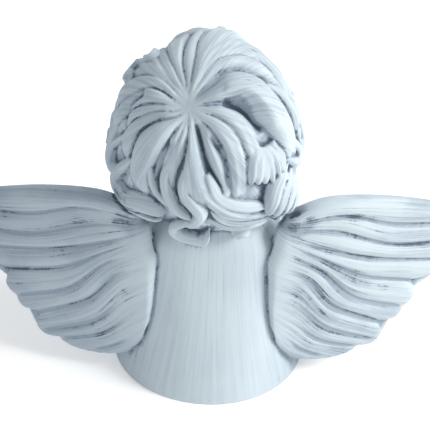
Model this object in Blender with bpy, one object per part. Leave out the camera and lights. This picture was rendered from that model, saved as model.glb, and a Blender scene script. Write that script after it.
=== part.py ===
"""Winged cherub bust for a grave: one cast solid standing on its round flat underside.

Metres, +Z up. The face looks toward -Y, the back toward +Y, the statue's left is +X.
The origin is the centre of the round underside.
"""
import math

import bmesh
import bpy
import numpy as np

MM = 0.001

# main sizes, mm
BUST_HEIGHT = 250.0
BASE_RADIUS = 69.5
WING_SPAN = 371.0
HEAD_RADIUS = 58.0

# sizes at which the trunk, the head and the wings are drawn below, before they are scaled, mm
DRAWN_BUST_HEIGHT = 250.0
DRAWN_BASE_RADIUS = 69.5
DRAWN_WING_SPAN = 374.0
DRAWN_HEAD_RADIUS = 58.0

# bell-shaped trunk, mm: height, half width, depth behind, depth in front, squareness of the outline
TRUNK = (
    (-6, 69.5, 69.5, 69.5, 2.0),
    (2, 69.5, 69.0, 69.5, 2.0),
    (18, 65.5, 64.0, 65.0, 2.0),
    (40, 60.0, 55.0, 59.0, 2.1),
    (65, 54.5, 46.5, 54.0, 2.25),
    (90, 51.0, 40.0, 51.0, 2.5),
    (110, 48.0, 37.0, 46.0, 2.6),
    (124, 38.0, 33.0, 36.0, 2.4),
    (136, 27.0, 27.0, 27.0, 2.0),
    (160, 24.0, 24.0, 24.0, 2.0),
)
TRUNK_RINGS = 26
TRUNK_SIDES = 44

# head: centre (mm, height as a share of the bust's), turn toward the statue's right (degrees),
# half axes of the skull (mm on the drawn head, which is scaled to the radius above)
HEAD_CENTRE = (3.0, -5.0, 0.732 * BUST_HEIGHT)
HEAD_TURN = -22.3
SKULL = (46.5, 51.5, 58.0)
SKULL_BACK = 56.0

# crown of the hair: arcs from the whorl (degrees) at which each crease's bearing is given,
# then for every lock the bearings of the crease before it, its height (mm) and its lean
WHORL_TILT = 46.0
CROWN_ARCS = (4, 17, 31, 46, 63, 80)
CROWN = (
    ((330, 323, 320, 318, 317, 316), 4.0, 0.45),
    ((334, 334, 332, 335, 339, 343), 3.4, 0.50),
    ((342, 347, 347, 345, 347, 350), 4.8, 0.50),
    ((355, 366, 369, 378, 388, 400), 4.2, 0.50),
    ((370, 377, 379, 391, 405, 420), -1.2, 0.50),
    ((385, 389, 388, 397, 412, 430), 7.5, 0.68),
    ((420, 423, 421, 442, 455, 468), -2.4, 0.40),
    ((444, 433, 441, 457, 468, 478), 3.8, 0.50),
    ((465, 457, 463, 475, 488, 500), 4.4, 0.50),
    ((490, 482, 485, 493, 502, 510), 3.2, 0.45),
    ((506, 508, 510, 511, 508, 508), 5.4, 0.50),
    ((522, 527, 533, 540, 538, 534), 3.0, 0.60),
    ((533, 540, 548, 552, 554, 552), 4.2, 0.50),
    ((541, 554, 560, 561, 559, 556), 7.4, 0.45),
    ((562, 589, 594, 588, 578, 562), 4.6, 0.50),
    ((589, 607, 608, 605, 603, 594), 4.4, 0.50),
    ((611, 622, 621, 615, 609, 604), 5.0, 0.40),
    ((629, 645, 641, 629, 621, 612), 5.0, 0.55),
    ((660, 661, 656, 647, 639, 632), 4.8, 0.50),
    ((680, 671, 669, 670, 670, 670), 6.0, 0.50),
)
CROWN_ROWS = 34
CROWN_SAMPLES = 6
CROWN_THICKNESS = 9.0

# loose locks below the crown: path as (bearing, arc) degrees,
# half width, height, lift at the start and at the end (mm)
LOOSE_LOCKS = {
    "left side": (((255, 55), (245, 73), (232, 88)), 6.0, 6.0, 0, 3),
    "left temple": (((312, 38), (297, 58), (300, 78)), 6.0, 6.0, 0, 2),
    "right temple": (((50, 56), (66, 70), (80, 80)), 6.0, 6.5, 0, 2),
    "right side": (((60, 74), (77, 86), (92, 98)), 6.0, 6.5, 0, 2),
    "shaded curl": (((240, 50), (242, 72), (234, 80), (222, 68)), 5.0, 5.5, 0, 3),
    "roll upper": (((222, 55), (227, 80), (215, 84), (200, 72), (186, 72)), 7.5, 7.5, 1, 3),
    "roll middle": (((228, 85), (217, 91), (203, 79), (188, 78)), 4.4, 6.0, 3, 4),
    "roll lower": (((226, 89), (212, 94), (199, 93)), 4.4, 6.0, 3, 3),
    "petal foot": (((212, 37), (198, 55), (181, 66)), 4.8, 4.5, 0, 1.5),
    "middle lock": (((183, 28), (190, 48), (180, 64), (167, 72)), 4.6, 5.0, 0, 2),
    "hook": (((162, 30), (173, 52), (164, 67), (173, 77)), 5.6, 5.5, 0, 4),
    "long sweep": (((157, 33), (161, 50), (150, 68), (134, 88)), 4.8, 5.0, 0, 2),
    "ring": (((169, 72), (182, 82), (183, 96), (172, 101), (163, 86)), 3.8, 6.0, 2, 4),
    "right knob": (((85, 63), (89, 85), (96, 87), (100, 74)), 5.4, 6.0, 1, 3),
}

# fans of even locks: path of the first and of the last lock as (bearing, arc) degrees,
# number of locks, half width, height, lift at the start and at the end (mm)
LOCK_FANS = {
    "shell": (((103, 52), (115, 53), (127, 64)), ((99, 57), (103, 70), (110, 82)), 5, 3.7, 5.5, 1, 4),
    "bundle": (((102, 79), (117, 79), (130, 86)), ((106, 106), (114, 108), (121, 110)), 4, 5.0, 6.0, 2, 4),
    "sweeps": (((153, 45), (149, 62), (131, 82)), ((161, 76), (150, 86), (138, 91)), 3, 4.9, 4.6, 0, 2),
}

# strokes of the carver in the crown: path as (bearing, arc) degrees, half width, height (below 0 cuts)
STROKES = {
    "left trough": (((277, 31), (261, 43), (243, 52)), 3.6, -4.5),
    "left shade": (((250, 51), (238, 60), (224, 64)), 4.5, -3.5),
    "petal foot": (((192, 23), (196, 42), (190, 60)), 2.4, -3.0),
    "middle trough": (((165, 18), (174, 40), (180, 60)), 2.4, -3.0),
    "long trough": (((140, 11), (150, 36), (147, 60)), 4.4, -6.5),
    "long trough right": (((130, 20), (133, 40), (143, 60)), 3.2, -4.0),
    "arch trough": (((63, 21), (77, 38), (94, 57)), 5.2, -6.0),
    "arch": (((53, 22), (63, 40), (86, 55)), 5.0, 3.4),
}
STROKE_STEPS = 24

# rows of curls round the face and below the hair
FRINGE_CURLS = 8
FRINGE_RISE = 29.0
FRINGE_SPREAD = 60.0
SIDE_CURLS = ((62, 12), (68, -8), (72, -28), (90, -38), (86, 2), (108, -30), (84, 24), (110, -8))
NAPE_CURLS = ((208, 92), (192, 92), (148, 97), (228, 96), (128, 104), (175, 84))
CURL_RADIUS = 7.0
CURL_HALF_WIDTH = 4.2
CURL_HEIGHT = 6.5
LOCK_STEPS = 20
LOCK_ACROSS = 5

# wing: every feather edge as four points (outward, up) from root to tip, mm
FEATHER_EDGES = (
    ((50, 134), (79, 145), (124, 141), (181, 123)),
    ((48, 131), (91, 134), (130, 119), (187, 111)),
    ((46, 128), (84, 122), (129, 104), (186, 97)),
    ((44, 126), (78, 109), (119, 94), (176, 81)),
    ((43, 121), (77, 101), (107, 81), (151, 68)),
    ((42, 112), (76, 92), (103, 64), (143, 47)),
    ((39, 99), (65, 86), (88, 59), (127, 37)),
    ((40, 80), (60, 67), (85, 41), (123, 24)),
    ((41, 64), (56, 53), (80, 32), (112, 20)),
    ((43, 50), (54, 38), (67, 25), (87, 14)),
    ((47, 42), (48, 33), (51, 26), (57, 19)),
)
# depth of the nick in the outline at each feather edge, mm
FEATHER_NICKS = {1: 5.0, 2: 5.0, 3: 6.5, 4: 6.5, 6: 5.0, 8: 3.2}
TIP_LENGTHENING = 2.4
FEATHER_RELIEF = 3.6
WING_ROOT_HALF_THICKNESS = 9.5
WING_TIP_HALF_THICKNESS = 3.2
WING_SET_BACK = 0.532 * BASE_RADIUS
WING_SWEEP = 26.0
WING_LEAN = 13.0
WING_TOP = 0.52 * BUST_HEIGHT
WING_BEND = 0.107 * WING_SPAN
WING_STEPS = 18
FEATHER_SAMPLES = 5

# one skin over everything, then fewer triangles
SKIN_CELL = 1.7
TRIANGLE_GOAL = 9600

# matt pale blue-grey paint
PAINT_COLOUR = (0.48, 0.56, 0.62, 1.0)
PAINT_ROUGHNESS = 0.7


def clear_scene():
    """Remove every object of the start-up scene."""
    for item in list(bpy.data.objects):
        bpy.data.objects.remove(item)


def ramp(value, low, high):
    """Smooth step from 0 at low to 1 at high."""
    share = np.clip((value - low) / (high - low), 0, 1)
    return share * share * (3 - 2 * share)


def hill(across, up, centre_across, centre_up, half_across, half_up):
    """Soft round hill of height 1."""
    return np.exp(-((across - centre_across) / half_across) ** 2 - ((up - centre_up) / half_up) ** 2)


def unit(vectors):
    """Vectors scaled to length 1."""
    return vectors / np.maximum(np.linalg.norm(vectors, axis=-1, keepdims=True), 1e-12)


def through(nodes, share):
    """Smooth curve through evenly spaced nodes, at shares 0 to 1 of its length."""
    nodes = np.asarray(nodes, float)
    spans = len(nodes) - 1
    first = 2 * nodes[:1] - nodes[1:2]
    last = 2 * nodes[-1:] - nodes[-2:-1]
    padded = np.concatenate([first, nodes, last])
    place = np.clip(np.asarray(share, float), 0, 1) * spans
    span = np.minimum(place.astype(int), spans - 1)
    part = (place - span).reshape(place.shape + (1,) * (nodes.ndim - 1))
    a, b, c, d = padded[span], padded[span + 1], padded[span + 2], padded[span + 3]
    curve = 2 * b + (c - a) * part + (2 * a - 5 * b + 4 * c - d) * part ** 2
    return 0.5 * (curve + (3 * b - a - 3 * c + d) * part ** 3)


def tube_faces(rings, sides):
    """Quads of a tube of closed rings, with its two end caps."""
    row = np.arange(rings - 1)[:, None] * sides
    side = np.arange(sides)[None]
    after = (side + 1) % sides
    quads = np.stack([row + side, row + after, row + sides + after, row + sides + side], -1)
    faces = quads.reshape(-1, 4).tolist()
    faces.append(list(range(sides))[::-1])
    faces.append([(rings - 1) * sides + corner for corner in range(sides)])
    return faces


def tube(rings):
    """Closed tube from an array of rings."""
    return rings.reshape(-1, 3), tube_faces(*rings.shape[:2])


def collar(outer, depth):
    """Closed shell under a wrapped grid: the grid and the same grid nearer the centre."""
    rows, sides = outer.shape[:2]
    inner = outer * (1 - depth / np.linalg.norm(outer, axis=-1, keepdims=True))
    loop = np.concatenate([outer, inner[::-1]])
    row = np.arange(2 * rows)[:, None] * sides
    below = (row + sides) % (2 * rows * sides)
    side = np.arange(sides)[None]
    after = (side + 1) % sides
    quads = np.stack([row + side, row + after, below + after, below + side], -1)
    return loop.reshape(-1, 3), quads.reshape(-1, 4).tolist()


def slab(back, front):
    """Closed slab between two grids of the same size."""
    rows, columns = back.shape[:2]
    count = rows * columns
    row = np.arange(rows - 1)[:, None] * columns
    column = np.arange(columns - 1)[None]
    corner = row + column
    quads = np.stack([corner, corner + 1, corner + columns + 1, corner + columns], -1).reshape(-1, 4)
    rim = np.concatenate([
        np.arange(columns),
        np.arange(1, rows) * columns + columns - 1,
        (rows - 1) * columns + np.arange(columns - 2, -1, -1),
        np.arange(rows - 2, 0, -1) * columns,
    ])
    after = np.roll(rim, -1)
    border = np.stack([after, rim, rim + count, after + count], -1)
    faces = quads.tolist() + (quads[:, ::-1] + count).tolist() + border.tolist()
    return np.concatenate([back.reshape(-1, 3), front.reshape(-1, 3)]), faces


def trunk():
    """Bell-shaped trunk with a soft child's chest and belly in front."""
    stations = np.array(TRUNK, float)
    stations[:, 0] *= BUST_HEIGHT / DRAWN_BUST_HEIGHT
    stations[:, 1:4] *= BASE_RADIUS / DRAWN_BASE_RADIUS
    heights = np.linspace(stations[0, 0], stations[-1, 0], TRUNK_RINGS)
    share = np.interp(heights, stations[:, 0], np.linspace(0, 1, len(stations)))
    profile = through(stations, share)[:, :, None]
    turn = np.linspace(0, 2 * np.pi, TRUNK_SIDES, endpoint=False)[None]
    wide, behind, before, square = profile[:, 1], profile[:, 2], profile[:, 3], profile[:, 4]
    deep = np.where(np.sin(turn) > 0, behind, before)
    radius = (np.abs(np.cos(turn) / wide) ** square + np.abs(np.sin(turn) / deep) ** square) ** (-1 / square)
    x = radius * np.cos(turn)
    y = radius * np.sin(turn)
    z = heights[:, None] + 0 * x
    chest = 3.2 * hill(np.abs(x), z, 17, 92, 15, 13) - 1.6 * hill(x, z, 0, 96, 4.5, 17)
    belly = 3.0 * hill(x, z, 0, 58, 26, 22)
    y = y - (chest + belly) * np.clip(-y / 40, 0, 1)
    return tube(np.stack([x, y, z], -1) * MM)


def place_head(points):
    """Scale points drawn round the head's centre, turn them and move them onto the neck."""
    points = points * (HEAD_RADIUS / DRAWN_HEAD_RADIUS)
    turn = math.radians(HEAD_TURN)
    x = points[..., 0] * math.cos(turn) - points[..., 1] * math.sin(turn)
    y = points[..., 0] * math.sin(turn) + points[..., 1] * math.cos(turn)
    return np.stack([x, y, points[..., 2]], -1) + np.array(HEAD_CENTRE) * MM


def whorl_frame():
    """Directions of the whorl, of bearing 0 (over the top) and of bearing 90."""
    tilt = math.radians(WHORL_TILT)
    whorl = np.array([0, math.sin(tilt), math.cos(tilt)])
    over = np.array([0, -math.cos(tilt), math.sin(tilt)])
    return whorl, over, np.array([-1.0, 0, 0])


def on_crown(bearing, arc):
    """Direction at a bearing round the whorl and an arc away from it, in degrees."""
    whorl, over, right = whorl_frame()
    turn = np.radians(np.asarray(bearing, float))[..., None]
    away = np.radians(np.asarray(arc, float))[..., None]
    return np.cos(away) * whorl + np.sin(away) * (np.cos(turn) * over + np.sin(turn) * right)


def on_face(side, rise):
    """Direction at degrees sideways from the nose (left positive) and degrees up."""
    side = np.radians(np.asarray(side, float))
    rise = np.radians(np.asarray(rise, float))
    return np.stack([np.cos(rise) * np.sin(side), -np.cos(rise) * np.cos(side), np.sin(rise)], -1)


def hair_radius(direction):
    """Distance from the head's centre to the bed of the hair, metres."""
    x, y, z = direction[..., 0], direction[..., 1], direction[..., 2]
    whorl = whorl_frame()[0]
    from_whorl = np.degrees(np.arccos(np.clip(direction @ whorl, -1, 1)))
    from_top = np.degrees(np.arccos(np.clip(direction @ on_face(25, 64), -1, 1)))
    radius = 52.5 + 7.0 * ramp(y, -0.55, 0.25) + 13.0 * np.exp(-(from_top / 26) ** 2)
    radius = radius + 4.0 * ramp(x, 0.1, 0.9) * ramp(y, -0.4, 0.1)
    radius = radius + 9.0 * ramp(-z, -0.05, 0.62) * ramp(y, -0.55, 0.1)
    return (radius - 3.0 * np.exp(-(from_whorl / 8) ** 2)) * MM


def carving(direction):
    """Relief of the carver's strokes, mm: the highest ridge and the deepest cut at each place, added."""
    place = direction.reshape(-1, 3)
    points = place * hair_radius(place)[:, None] / MM
    raised = np.zeros(len(place))
    cut = np.zeros(len(place))
    share = np.linspace(0, 1, STROKE_STEPS)
    for path, half_width, height in STROKES.values():
        nodes = unit(through(on_crown(*np.array(path, float).T), share))
        nodes = nodes * hair_radius(nodes)[:, None] / MM
        middle = nodes.mean(axis=0)
        reach = np.linalg.norm(nodes - middle, axis=1).max() + 3.2 * half_width
        near = np.nonzero(np.linalg.norm(points - middle, axis=1) < reach)[0]
        start, step = nodes[:-1], np.diff(nodes, axis=0)
        offset = points[near][:, None] - start[None]
        along = np.clip((offset * step).sum(-1) / (step ** 2).sum(-1), 0, 1)
        distance = np.linalg.norm(offset - along[..., None] * step, axis=-1)
        best = distance.argmin(axis=1)
        row = np.arange(len(near))
        place_along = (best + along[row, best]) / (STROKE_STEPS - 1)
        power = 2.4 if height > 0 else 1.5
        stroke = height * np.exp(-(distance[row, best] / half_width) ** power)
        stroke = stroke * (1 - np.abs(2 * place_along - 1) ** 6)
        if height > 0:
            raised[near] = np.maximum(raised[near], stroke)
        else:
            cut[near] = np.minimum(cut[near], stroke)
    return (raised + cut).reshape(direction.shape[:-1])


def crown():
    """Crown of the hair: locks fanned round the whorl, each one round between two creases."""
    bearings = [lock[0] for lock in CROWN]
    bearings.append([bearing + 360 for bearing in CROWN[0][0]])
    arcs = np.linspace(2, 82, CROWN_ROWS)
    share = np.interp(arcs, CROWN_ARCS, np.linspace(0, 1, len(CROWN_ARCS)))
    creases = np.maximum.accumulate(through(np.array(bearings, float).T, share), axis=1)
    part = (1 - np.cos(np.pi * np.arange(CROWN_SAMPLES) / CROWN_SAMPLES)) / 2
    grown = ramp(arcs, 2, 26) * (1 - 0.35 * ramp(arcs, 60, 82))
    sunk = ramp(arcs, 14, 30) * (1 - 0.8 * ramp(arcs, 55, 75))
    columns = []
    heights = []
    for number, (_, height, lean) in enumerate(CROWN):
        near, far = creases[:, number:number + 1], creases[:, number + 1:number + 2]
        columns.append(near * (1 - part) + far * part)
        width = np.radians(far - near)[:, 0] * np.sin(np.radians(arcs)) * 60
        across = 2 * part ** (math.log(0.5) / math.log(lean)) - 1
        if height > 0:
            profile = np.maximum(1 - np.abs(across) ** 2.2, 0) ** 0.85
            heights.append(np.minimum(height * grown, 0.55 * width)[:, None] * profile)
        else:
            heights.append((height * sunk)[:, None] * (1 - across ** 2))
    bearing = np.concatenate(columns, 1)
    arc = arcs[:, None] + 0 * bearing
    direction = on_crown(bearing, arc)
    around = bearing % 360
    loose = ramp(arc, 56, 70) * ramp(around, 95, 125) * (1 - ramp(around, 225, 250))
    relief = np.concatenate(heights, 1) * (1 - 0.85 * loose) + carving(direction)
    radius = hair_radius(direction) + relief * MM
    points, faces = collar(direction * radius[..., None], CROWN_THICKNESS * MM)
    return place_head(points), faces


def lock(path, half_width, height, lift_start, lift_end):
    """One lock of hair: a round-backed strip along a path of directions, pointed at its end."""
    direction = unit(through(path, np.linspace(0, 1, LOCK_STEPS)))
    along = np.linspace(0, 1, LOCK_STEPS)
    middle = direction * hair_radius(direction)[:, None]
    sideways = unit(np.cross(unit(np.gradient(middle, axis=0)), direction))
    opening = 0.3 + 0.7 * np.sin(np.pi / 2 * np.clip(along / 0.5, 0, 1))
    closing = np.maximum(1 - np.clip((along - 0.5) / 0.5, 0, 1) ** 2.2, 0.0004) ** 0.65
    falling = np.maximum(1 - np.clip((along - 0.6) / 0.4, 0, 1) ** 2.5, 0.01) ** 0.5
    rise = (0.4 + 0.6 * ramp(along, 0, 0.35)) * falling
    across = np.linspace(-1, 1, LOCK_ACROSS)
    back = np.maximum(1 - np.abs(across) ** 2.2, 0) ** 1.1
    lift = (lift_start + (lift_end - lift_start) * ramp(along, 0.1, 1)) * MM
    offset = (opening * closing)[:, None] * across[None] * half_width * MM
    spread = unit(middle[:, None] + sideways[:, None] * offset[..., None])
    bed = hair_radius(spread)
    upper = bed + lift[:, None] + height * MM * rise[:, None] * back[None]
    lower = bed - 5 * MM + 0.3 * lift[:, None]
    ring = np.concatenate([spread * upper[..., None], (spread * lower[..., None])[:, ::-1]], 1)
    return tube(place_head(ring))


def curl(centre, hand, start, radius, half_width, height, lift):
    """Spiral curl wound round a direction on the head."""
    east = unit(np.cross(np.array([0, 0, 1.0]), centre))
    north = np.cross(centre, east)
    along = np.linspace(0, 1, LOCK_STEPS)
    angle = math.radians(start) + hand * 2.4 * np.pi * along
    reach = (radius + (0.3 * radius - radius) * along ** 0.8) * MM
    path = centre * hair_radius(centre) + east * (reach * np.cos(angle))[:, None]
    path = path + north * (reach * np.sin(angle))[:, None]
    return lock(unit(path), half_width, height, lift, lift)


def loose_locks():
    """Single locks over the lower border of the crown."""
    return [lock(on_crown(*np.array(path, float).T), *sizes) for path, *sizes in LOOSE_LOCKS.values()]


def fanned_locks():
    """Fans of locks, spread evenly from the path of the first to the path of the last."""
    pieces = []
    for first, last, count, *sizes in LOCK_FANS.values():
        for share in np.linspace(0, 1, count):
            path = (1 - share) * np.array(first, float) + share * np.array(last, float)
            pieces.append(lock(on_crown(*path.T), *sizes))
    return pieces


def fringe():
    """Wavy locks over the forehead, each ending in a curl."""
    pieces = []
    for number, side in enumerate(np.linspace(-FRINGE_SPREAD, FRINGE_SPREAD, FRINGE_CURLS)):
        hand = 1 if number % 2 else -1
        rise = FRINGE_RISE + 4 * math.sin(2.4 * number)
        sides = (side * 0.7, side * 0.95 + 7 * hand, side * 1.05, side - 6 * hand)
        path = on_face(sides, (74, 52, 40, rise - 2))
        pieces.append(lock(path, 7.5, 6.5, 0.5, 2.5))
        centre = on_face(side, rise)
        pieces.append(curl(centre, hand, 90, CURL_RADIUS, 0.9 * CURL_HALF_WIDTH, CURL_HEIGHT, 2.0))
    return pieces


def side_curls():
    """Curls beside the face and over the ears, on both sides, with the locks that feed them."""
    pieces = []
    for hand in (-1, 1):
        for number, (side, rise) in enumerate(SIDE_CURLS):
            turn = hand * (1 if number % 2 else -1)
            centre = on_face(hand * side, rise)
            start = 90 + 40 * number
            pieces.append(curl(centre, turn, start, 1.1 * CURL_RADIUS, CURL_HALF_WIDTH, CURL_HEIGHT, 1.5))
            sides = (hand * (side + 6), hand * (side + 1), hand * (side + 6))
            path = on_face(sides, (rise + 26, rise + 12, rise - 4))
            pieces.append(lock(path, 6.0, 5.5, 0, 1.0))
    return pieces


def nape_curls():
    """Curls along the lower border of the hair at the back."""
    pieces = []
    for number, (bearing, arc) in enumerate(NAPE_CURLS):
        hand = 1 if number % 2 else -1
        centre = on_crown(bearing, arc)
        pieces.append(curl(centre, hand, 60 * number, CURL_RADIUS, CURL_HALF_WIDTH, CURL_HEIGHT, 1.5))
    return pieces


def face_relief(x, z):
    """Forward relief of a calm child's face, mm, from the side distance and height in mm."""
    side = np.abs(x)
    relief = 2.2 * hill(x, z, 0, 27, 26, 15) + 1.6 * hill(side, z, 17, 7, 12, 4)
    relief = relief - 5.2 * hill(side, z, 19, -6, 10.5, 8) - 2.0 * hill(side, z, 9.5, -5, 4.2, 6)
    eyeball = np.clip(1 - ((side - 19.2) / 9.6) ** 2 - ((z + 7.6) / 7.2) ** 2, 0, None)
    relief = relief + 5.6 * eyeball ** 0.6
    down = ramp(-z, -4, 25)
    bridge = np.exp(-(side / (3.4 + 2.2 * down)) ** 2.4) * ramp(z, -34, -27) * (1 - ramp(z, -6, 8))
    relief = relief + (3.0 + 6.5 * down) * bridge
    relief = relief + 5.6 * hill(x, z, 0, -24.5, 6.2, 5.4) + 3.6 * hill(side, z, 7.3, -26.2, 3.7, 3.6)
    relief = relief + 3.2 * hill(x, z, 0, -41, 17, 9)
    mouth = -40.6 + 1.3 * (side / 12) ** 2
    lips = 2.5 * np.exp(-((z - mouth - 2.3) / 2.1) ** 2) + 3.0 * np.exp(-((z - mouth + 2.9) / 2.6) ** 2)
    relief = relief + lips * np.exp(-(side / 8.5) ** 2)
    relief = relief - 2.4 * np.exp(-((z - mouth) / 1.2) ** 2) * np.exp(-(side / 11.8) ** 6)
    relief = relief - 1.5 * hill(x, z, 0, -48.6, 8.5, 2.2) + 4.2 * hill(x, z, 0, -54.5, 9.5, 6.5)
    return relief + 4.8 * hill(side, z, 25, -28, 13, 13)


def head():
    """Skull with the face in front; the bed of the hair takes over behind the hairline."""
    side = np.linspace(-180, 180, 72, endpoint=False)
    rise = np.linspace(-89, 89, 44)
    direction = on_face(side[None] + 0 * rise[:, None], rise[:, None] + 0 * side[None])
    x, y, z = direction[..., 0], direction[..., 1], direction[..., 2]
    wide = SKULL[0] - 5.0 * ramp(-z, 0.35, 0.95)
    deep = np.where(y < 0, SKULL[1], SKULL_BACK)
    radius = MM / np.sqrt((x / wide) ** 2 + (y / deep) ** 2 + (z / SKULL[2]) ** 2)
    angle = np.degrees(np.arctan2(x, -y))
    lift = np.degrees(np.arcsin(np.clip(z, -1, 1)))
    edge = (np.abs(angle) / (56 + 26 * ramp(-lift, 25, 55))) ** 4 + (np.maximum(lift, 0) / 36) ** 4
    hair = ramp(edge, 0.75, 1.35)
    from_whorl = np.degrees(np.arccos(np.clip(direction @ whorl_frame()[0], -1, 1)))
    under_crown = 2.0 - 1.8 * ramp(from_whorl, 72, 80)
    bed = hair_radius(direction) + (carving(direction) - under_crown) * MM
    radius = radius * (1 - hair) + bed * hair
    points = direction * radius[..., None]
    forward = (1 - hair) * ramp(-y, 0.15, 0.5)
    points[..., 1] -= face_relief(points[..., 0] / MM, points[..., 2] / MM) * MM * forward
    return tube(place_head(points))


def feather_nodes(place):
    """Four points of the feather line at each place across the wing, nicked at the tips."""
    edges = np.array(FEATHER_EDGES, float) * (WING_SPAN / DRAWN_WING_SPAN, BUST_HEIGHT / DRAWN_BUST_HEIGHT)
    count = len(edges) - 1
    number = np.minimum(place.astype(int), count - 1)
    part = (place - number)[:, None, None]
    straight = edges[number] * (1 - part) + edges[number + 1] * part
    nodes = 0.5 * straight + 0.5 * through(edges, place / count)
    outward = unit(nodes[:, 3] - nodes[:, 2])
    nick = np.zeros_like(place)
    for edge, depth in FEATHER_NICKS.items():
        near = 1 - np.clip(np.abs(place - edge) / 0.42, 0, 1)
        nick = nick + depth * (1 - np.sqrt(np.clip(1 - near ** 2, 0, 1)))
    nodes[:, 3] = nodes[:, 3] + outward * (TIP_LENGTHENING - nick)[:, None]
    return nodes


def rounded(share, reach):
    """Quarter-round rise from 0 to 1 over the first reach of a share."""
    near = np.clip(share / reach, 0, 1)
    return np.sqrt(near * (2 - near))


def wing(hand):
    """Wing on the left (hand 1) or right (hand -1): overlapping long feathers, swept forward."""
    count = len(FEATHER_EDGES) - 1
    samples = np.arange(FEATHER_SAMPLES - 1) / (FEATHER_SAMPLES - 1)
    place = np.concatenate([number + samples for number in range(count)] + [[count]])
    along = np.linspace(0, 1, WING_STEPS)
    points = through(np.swapaxes(feather_nodes(place), 0, 1), along)
    x, z = points[..., 0], points[..., 1]
    along = along[:, None]
    part = place - np.minimum(place.astype(int), count - 1)
    plainer = ramp(place, 6, 9)[None]
    across_feather = (1 - np.abs(2 * part - 1) ** 2.3)[None]
    ridge = (FEATHER_RELIEF - 2.2 * plainer) * ramp(along, 0.1, 0.5) * across_feather
    step = 1.3 * (1 - plainer) * ramp(along, 0.12, 0.5) * (0.5 - part)[None]
    thinning = ramp(along, 0, 0.95)
    half = WING_ROOT_HALF_THICKNESS * (1 - thinning) + WING_TIP_HALF_THICKNESS * thinning
    across = place[None] / count
    rim = rounded(1 - along, 0.06) * rounded(along, 0.1) * rounded(across, 0.035) * rounded(1 - across, 0.04)
    lean = WING_LEAN * np.clip(z / WING_TOP, 0, 1)
    sweep = WING_SWEEP * (np.clip(x - WING_BEND, 0, None) / (0.59 * WING_SPAN / 2)) ** 1.4
    middle = WING_SET_BACK - lean - sweep
    back = np.stack([hand * x, middle + (half + ridge + step) * rim, z], -1) * MM
    front = np.stack([hand * x, middle - (0.8 * half + 0.7 * (ridge + step)) * rim, z], -1) * MM
    return slab(back, front)


def mesh_object(name, pieces):
    """One mesh object from several closed pieces, with its sides facing outward."""
    points = []
    faces = []
    for piece_points, piece_faces in pieces:
        start = len(points)
        points.extend(piece_points.tolist())
        faces.extend([[corner + start for corner in face] for face in piece_faces])
    mesh = bpy.data.meshes.new(name)
    mesh.from_pydata(points, [], faces)
    shape = bmesh.new()
    shape.from_mesh(mesh)
    bmesh.ops.recalc_face_normals(shape, faces=shape.faces)
    shape.to_mesh(mesh)
    shape.free()
    item = bpy.data.objects.new(name, mesh)
    bpy.context.scene.collection.objects.link(item)
    return item


def evaluated_mesh(item):
    """Copy of an object's mesh with its modifiers worked out."""
    graph = bpy.context.evaluated_depsgraph_get()
    return bpy.data.meshes.new_from_object(item.evaluated_get(graph))


def one_skin(item):
    """Fuse overlapping pieces into one closed skin and thin it to the triangle goal."""
    skin = item.modifiers.new("skin", "REMESH")
    skin.mode = "VOXEL"
    skin.voxel_size = SKIN_CELL * MM
    dense = evaluated_mesh(item)
    item.modifiers.clear()
    item.data = dense
    thin = item.modifiers.new("thin", "DECIMATE")
    thin.ratio = TRIANGLE_GOAL / (2 * len(dense.polygons))
    light = evaluated_mesh(item)
    item.modifiers.clear()
    item.data = light


def flat_underside(item):
    """Cut the statue off level at the ground and close the cut."""
    shape = bmesh.new()
    shape.from_mesh(item.data)
    everything = shape.verts[:] + shape.edges[:] + shape.faces[:]
    cut = bmesh.ops.bisect_plane(
        shape, geom=everything, dist=1e-6, plane_co=(0, 0, 0), plane_no=(0, 0, -1), clear_outer=True)
    rim = [part for part in cut["geom_cut"] if isinstance(part, bmesh.types.BMEdge)]
    bmesh.ops.contextual_create(shape, geom=rim)
    bmesh.ops.dissolve_degenerate(shape, edges=shape.edges, dist=1e-5)
    bmesh.ops.triangulate(shape, faces=shape.faces)
    bmesh.ops.recalc_face_normals(shape, faces=shape.faces)
    shape.to_mesh(item.data)
    shape.free()


def antiqued_casting():
    """Matt pale blue-grey paint over the whole casting."""
    paint = bpy.data.materials.new("antiqued_casting")
    paint.use_nodes = True
    shader = paint.node_tree.nodes["Principled BSDF"]
    shader.inputs["Base Color"].default_value = PAINT_COLOUR
    shader.inputs["Roughness"].default_value = PAINT_ROUGHNESS
    shader.inputs["Metallic"].default_value = 0.0
    return paint


def angel_statue():
    """The whole casting."""
    pieces = [trunk(), head(), crown(), wing(1), wing(-1)]
    pieces = pieces + loose_locks() + fanned_locks() + fringe() + side_curls() + nape_curls()
    item = mesh_object("angel_statue", pieces)
    one_skin(item)
    flat_underside(item)
    item.data.materials.append(antiqued_casting())
    item.data.shade_smooth()
    item.data.set_sharp_from_angle(angle=math.radians(50))


clear_scene()
angel_statue()
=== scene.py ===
"""Winged cherub bust for a grave: one antiqued casting, its floor, lights and camera.

Metres, +Z up. The face looks toward -Y, the back toward +Y, the statue's left is +X.
Sizes in the tables are millimetres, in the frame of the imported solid.
"""
import math

import bmesh
import bpy
import numpy as np
from mathutils import Matrix, Vector


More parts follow.
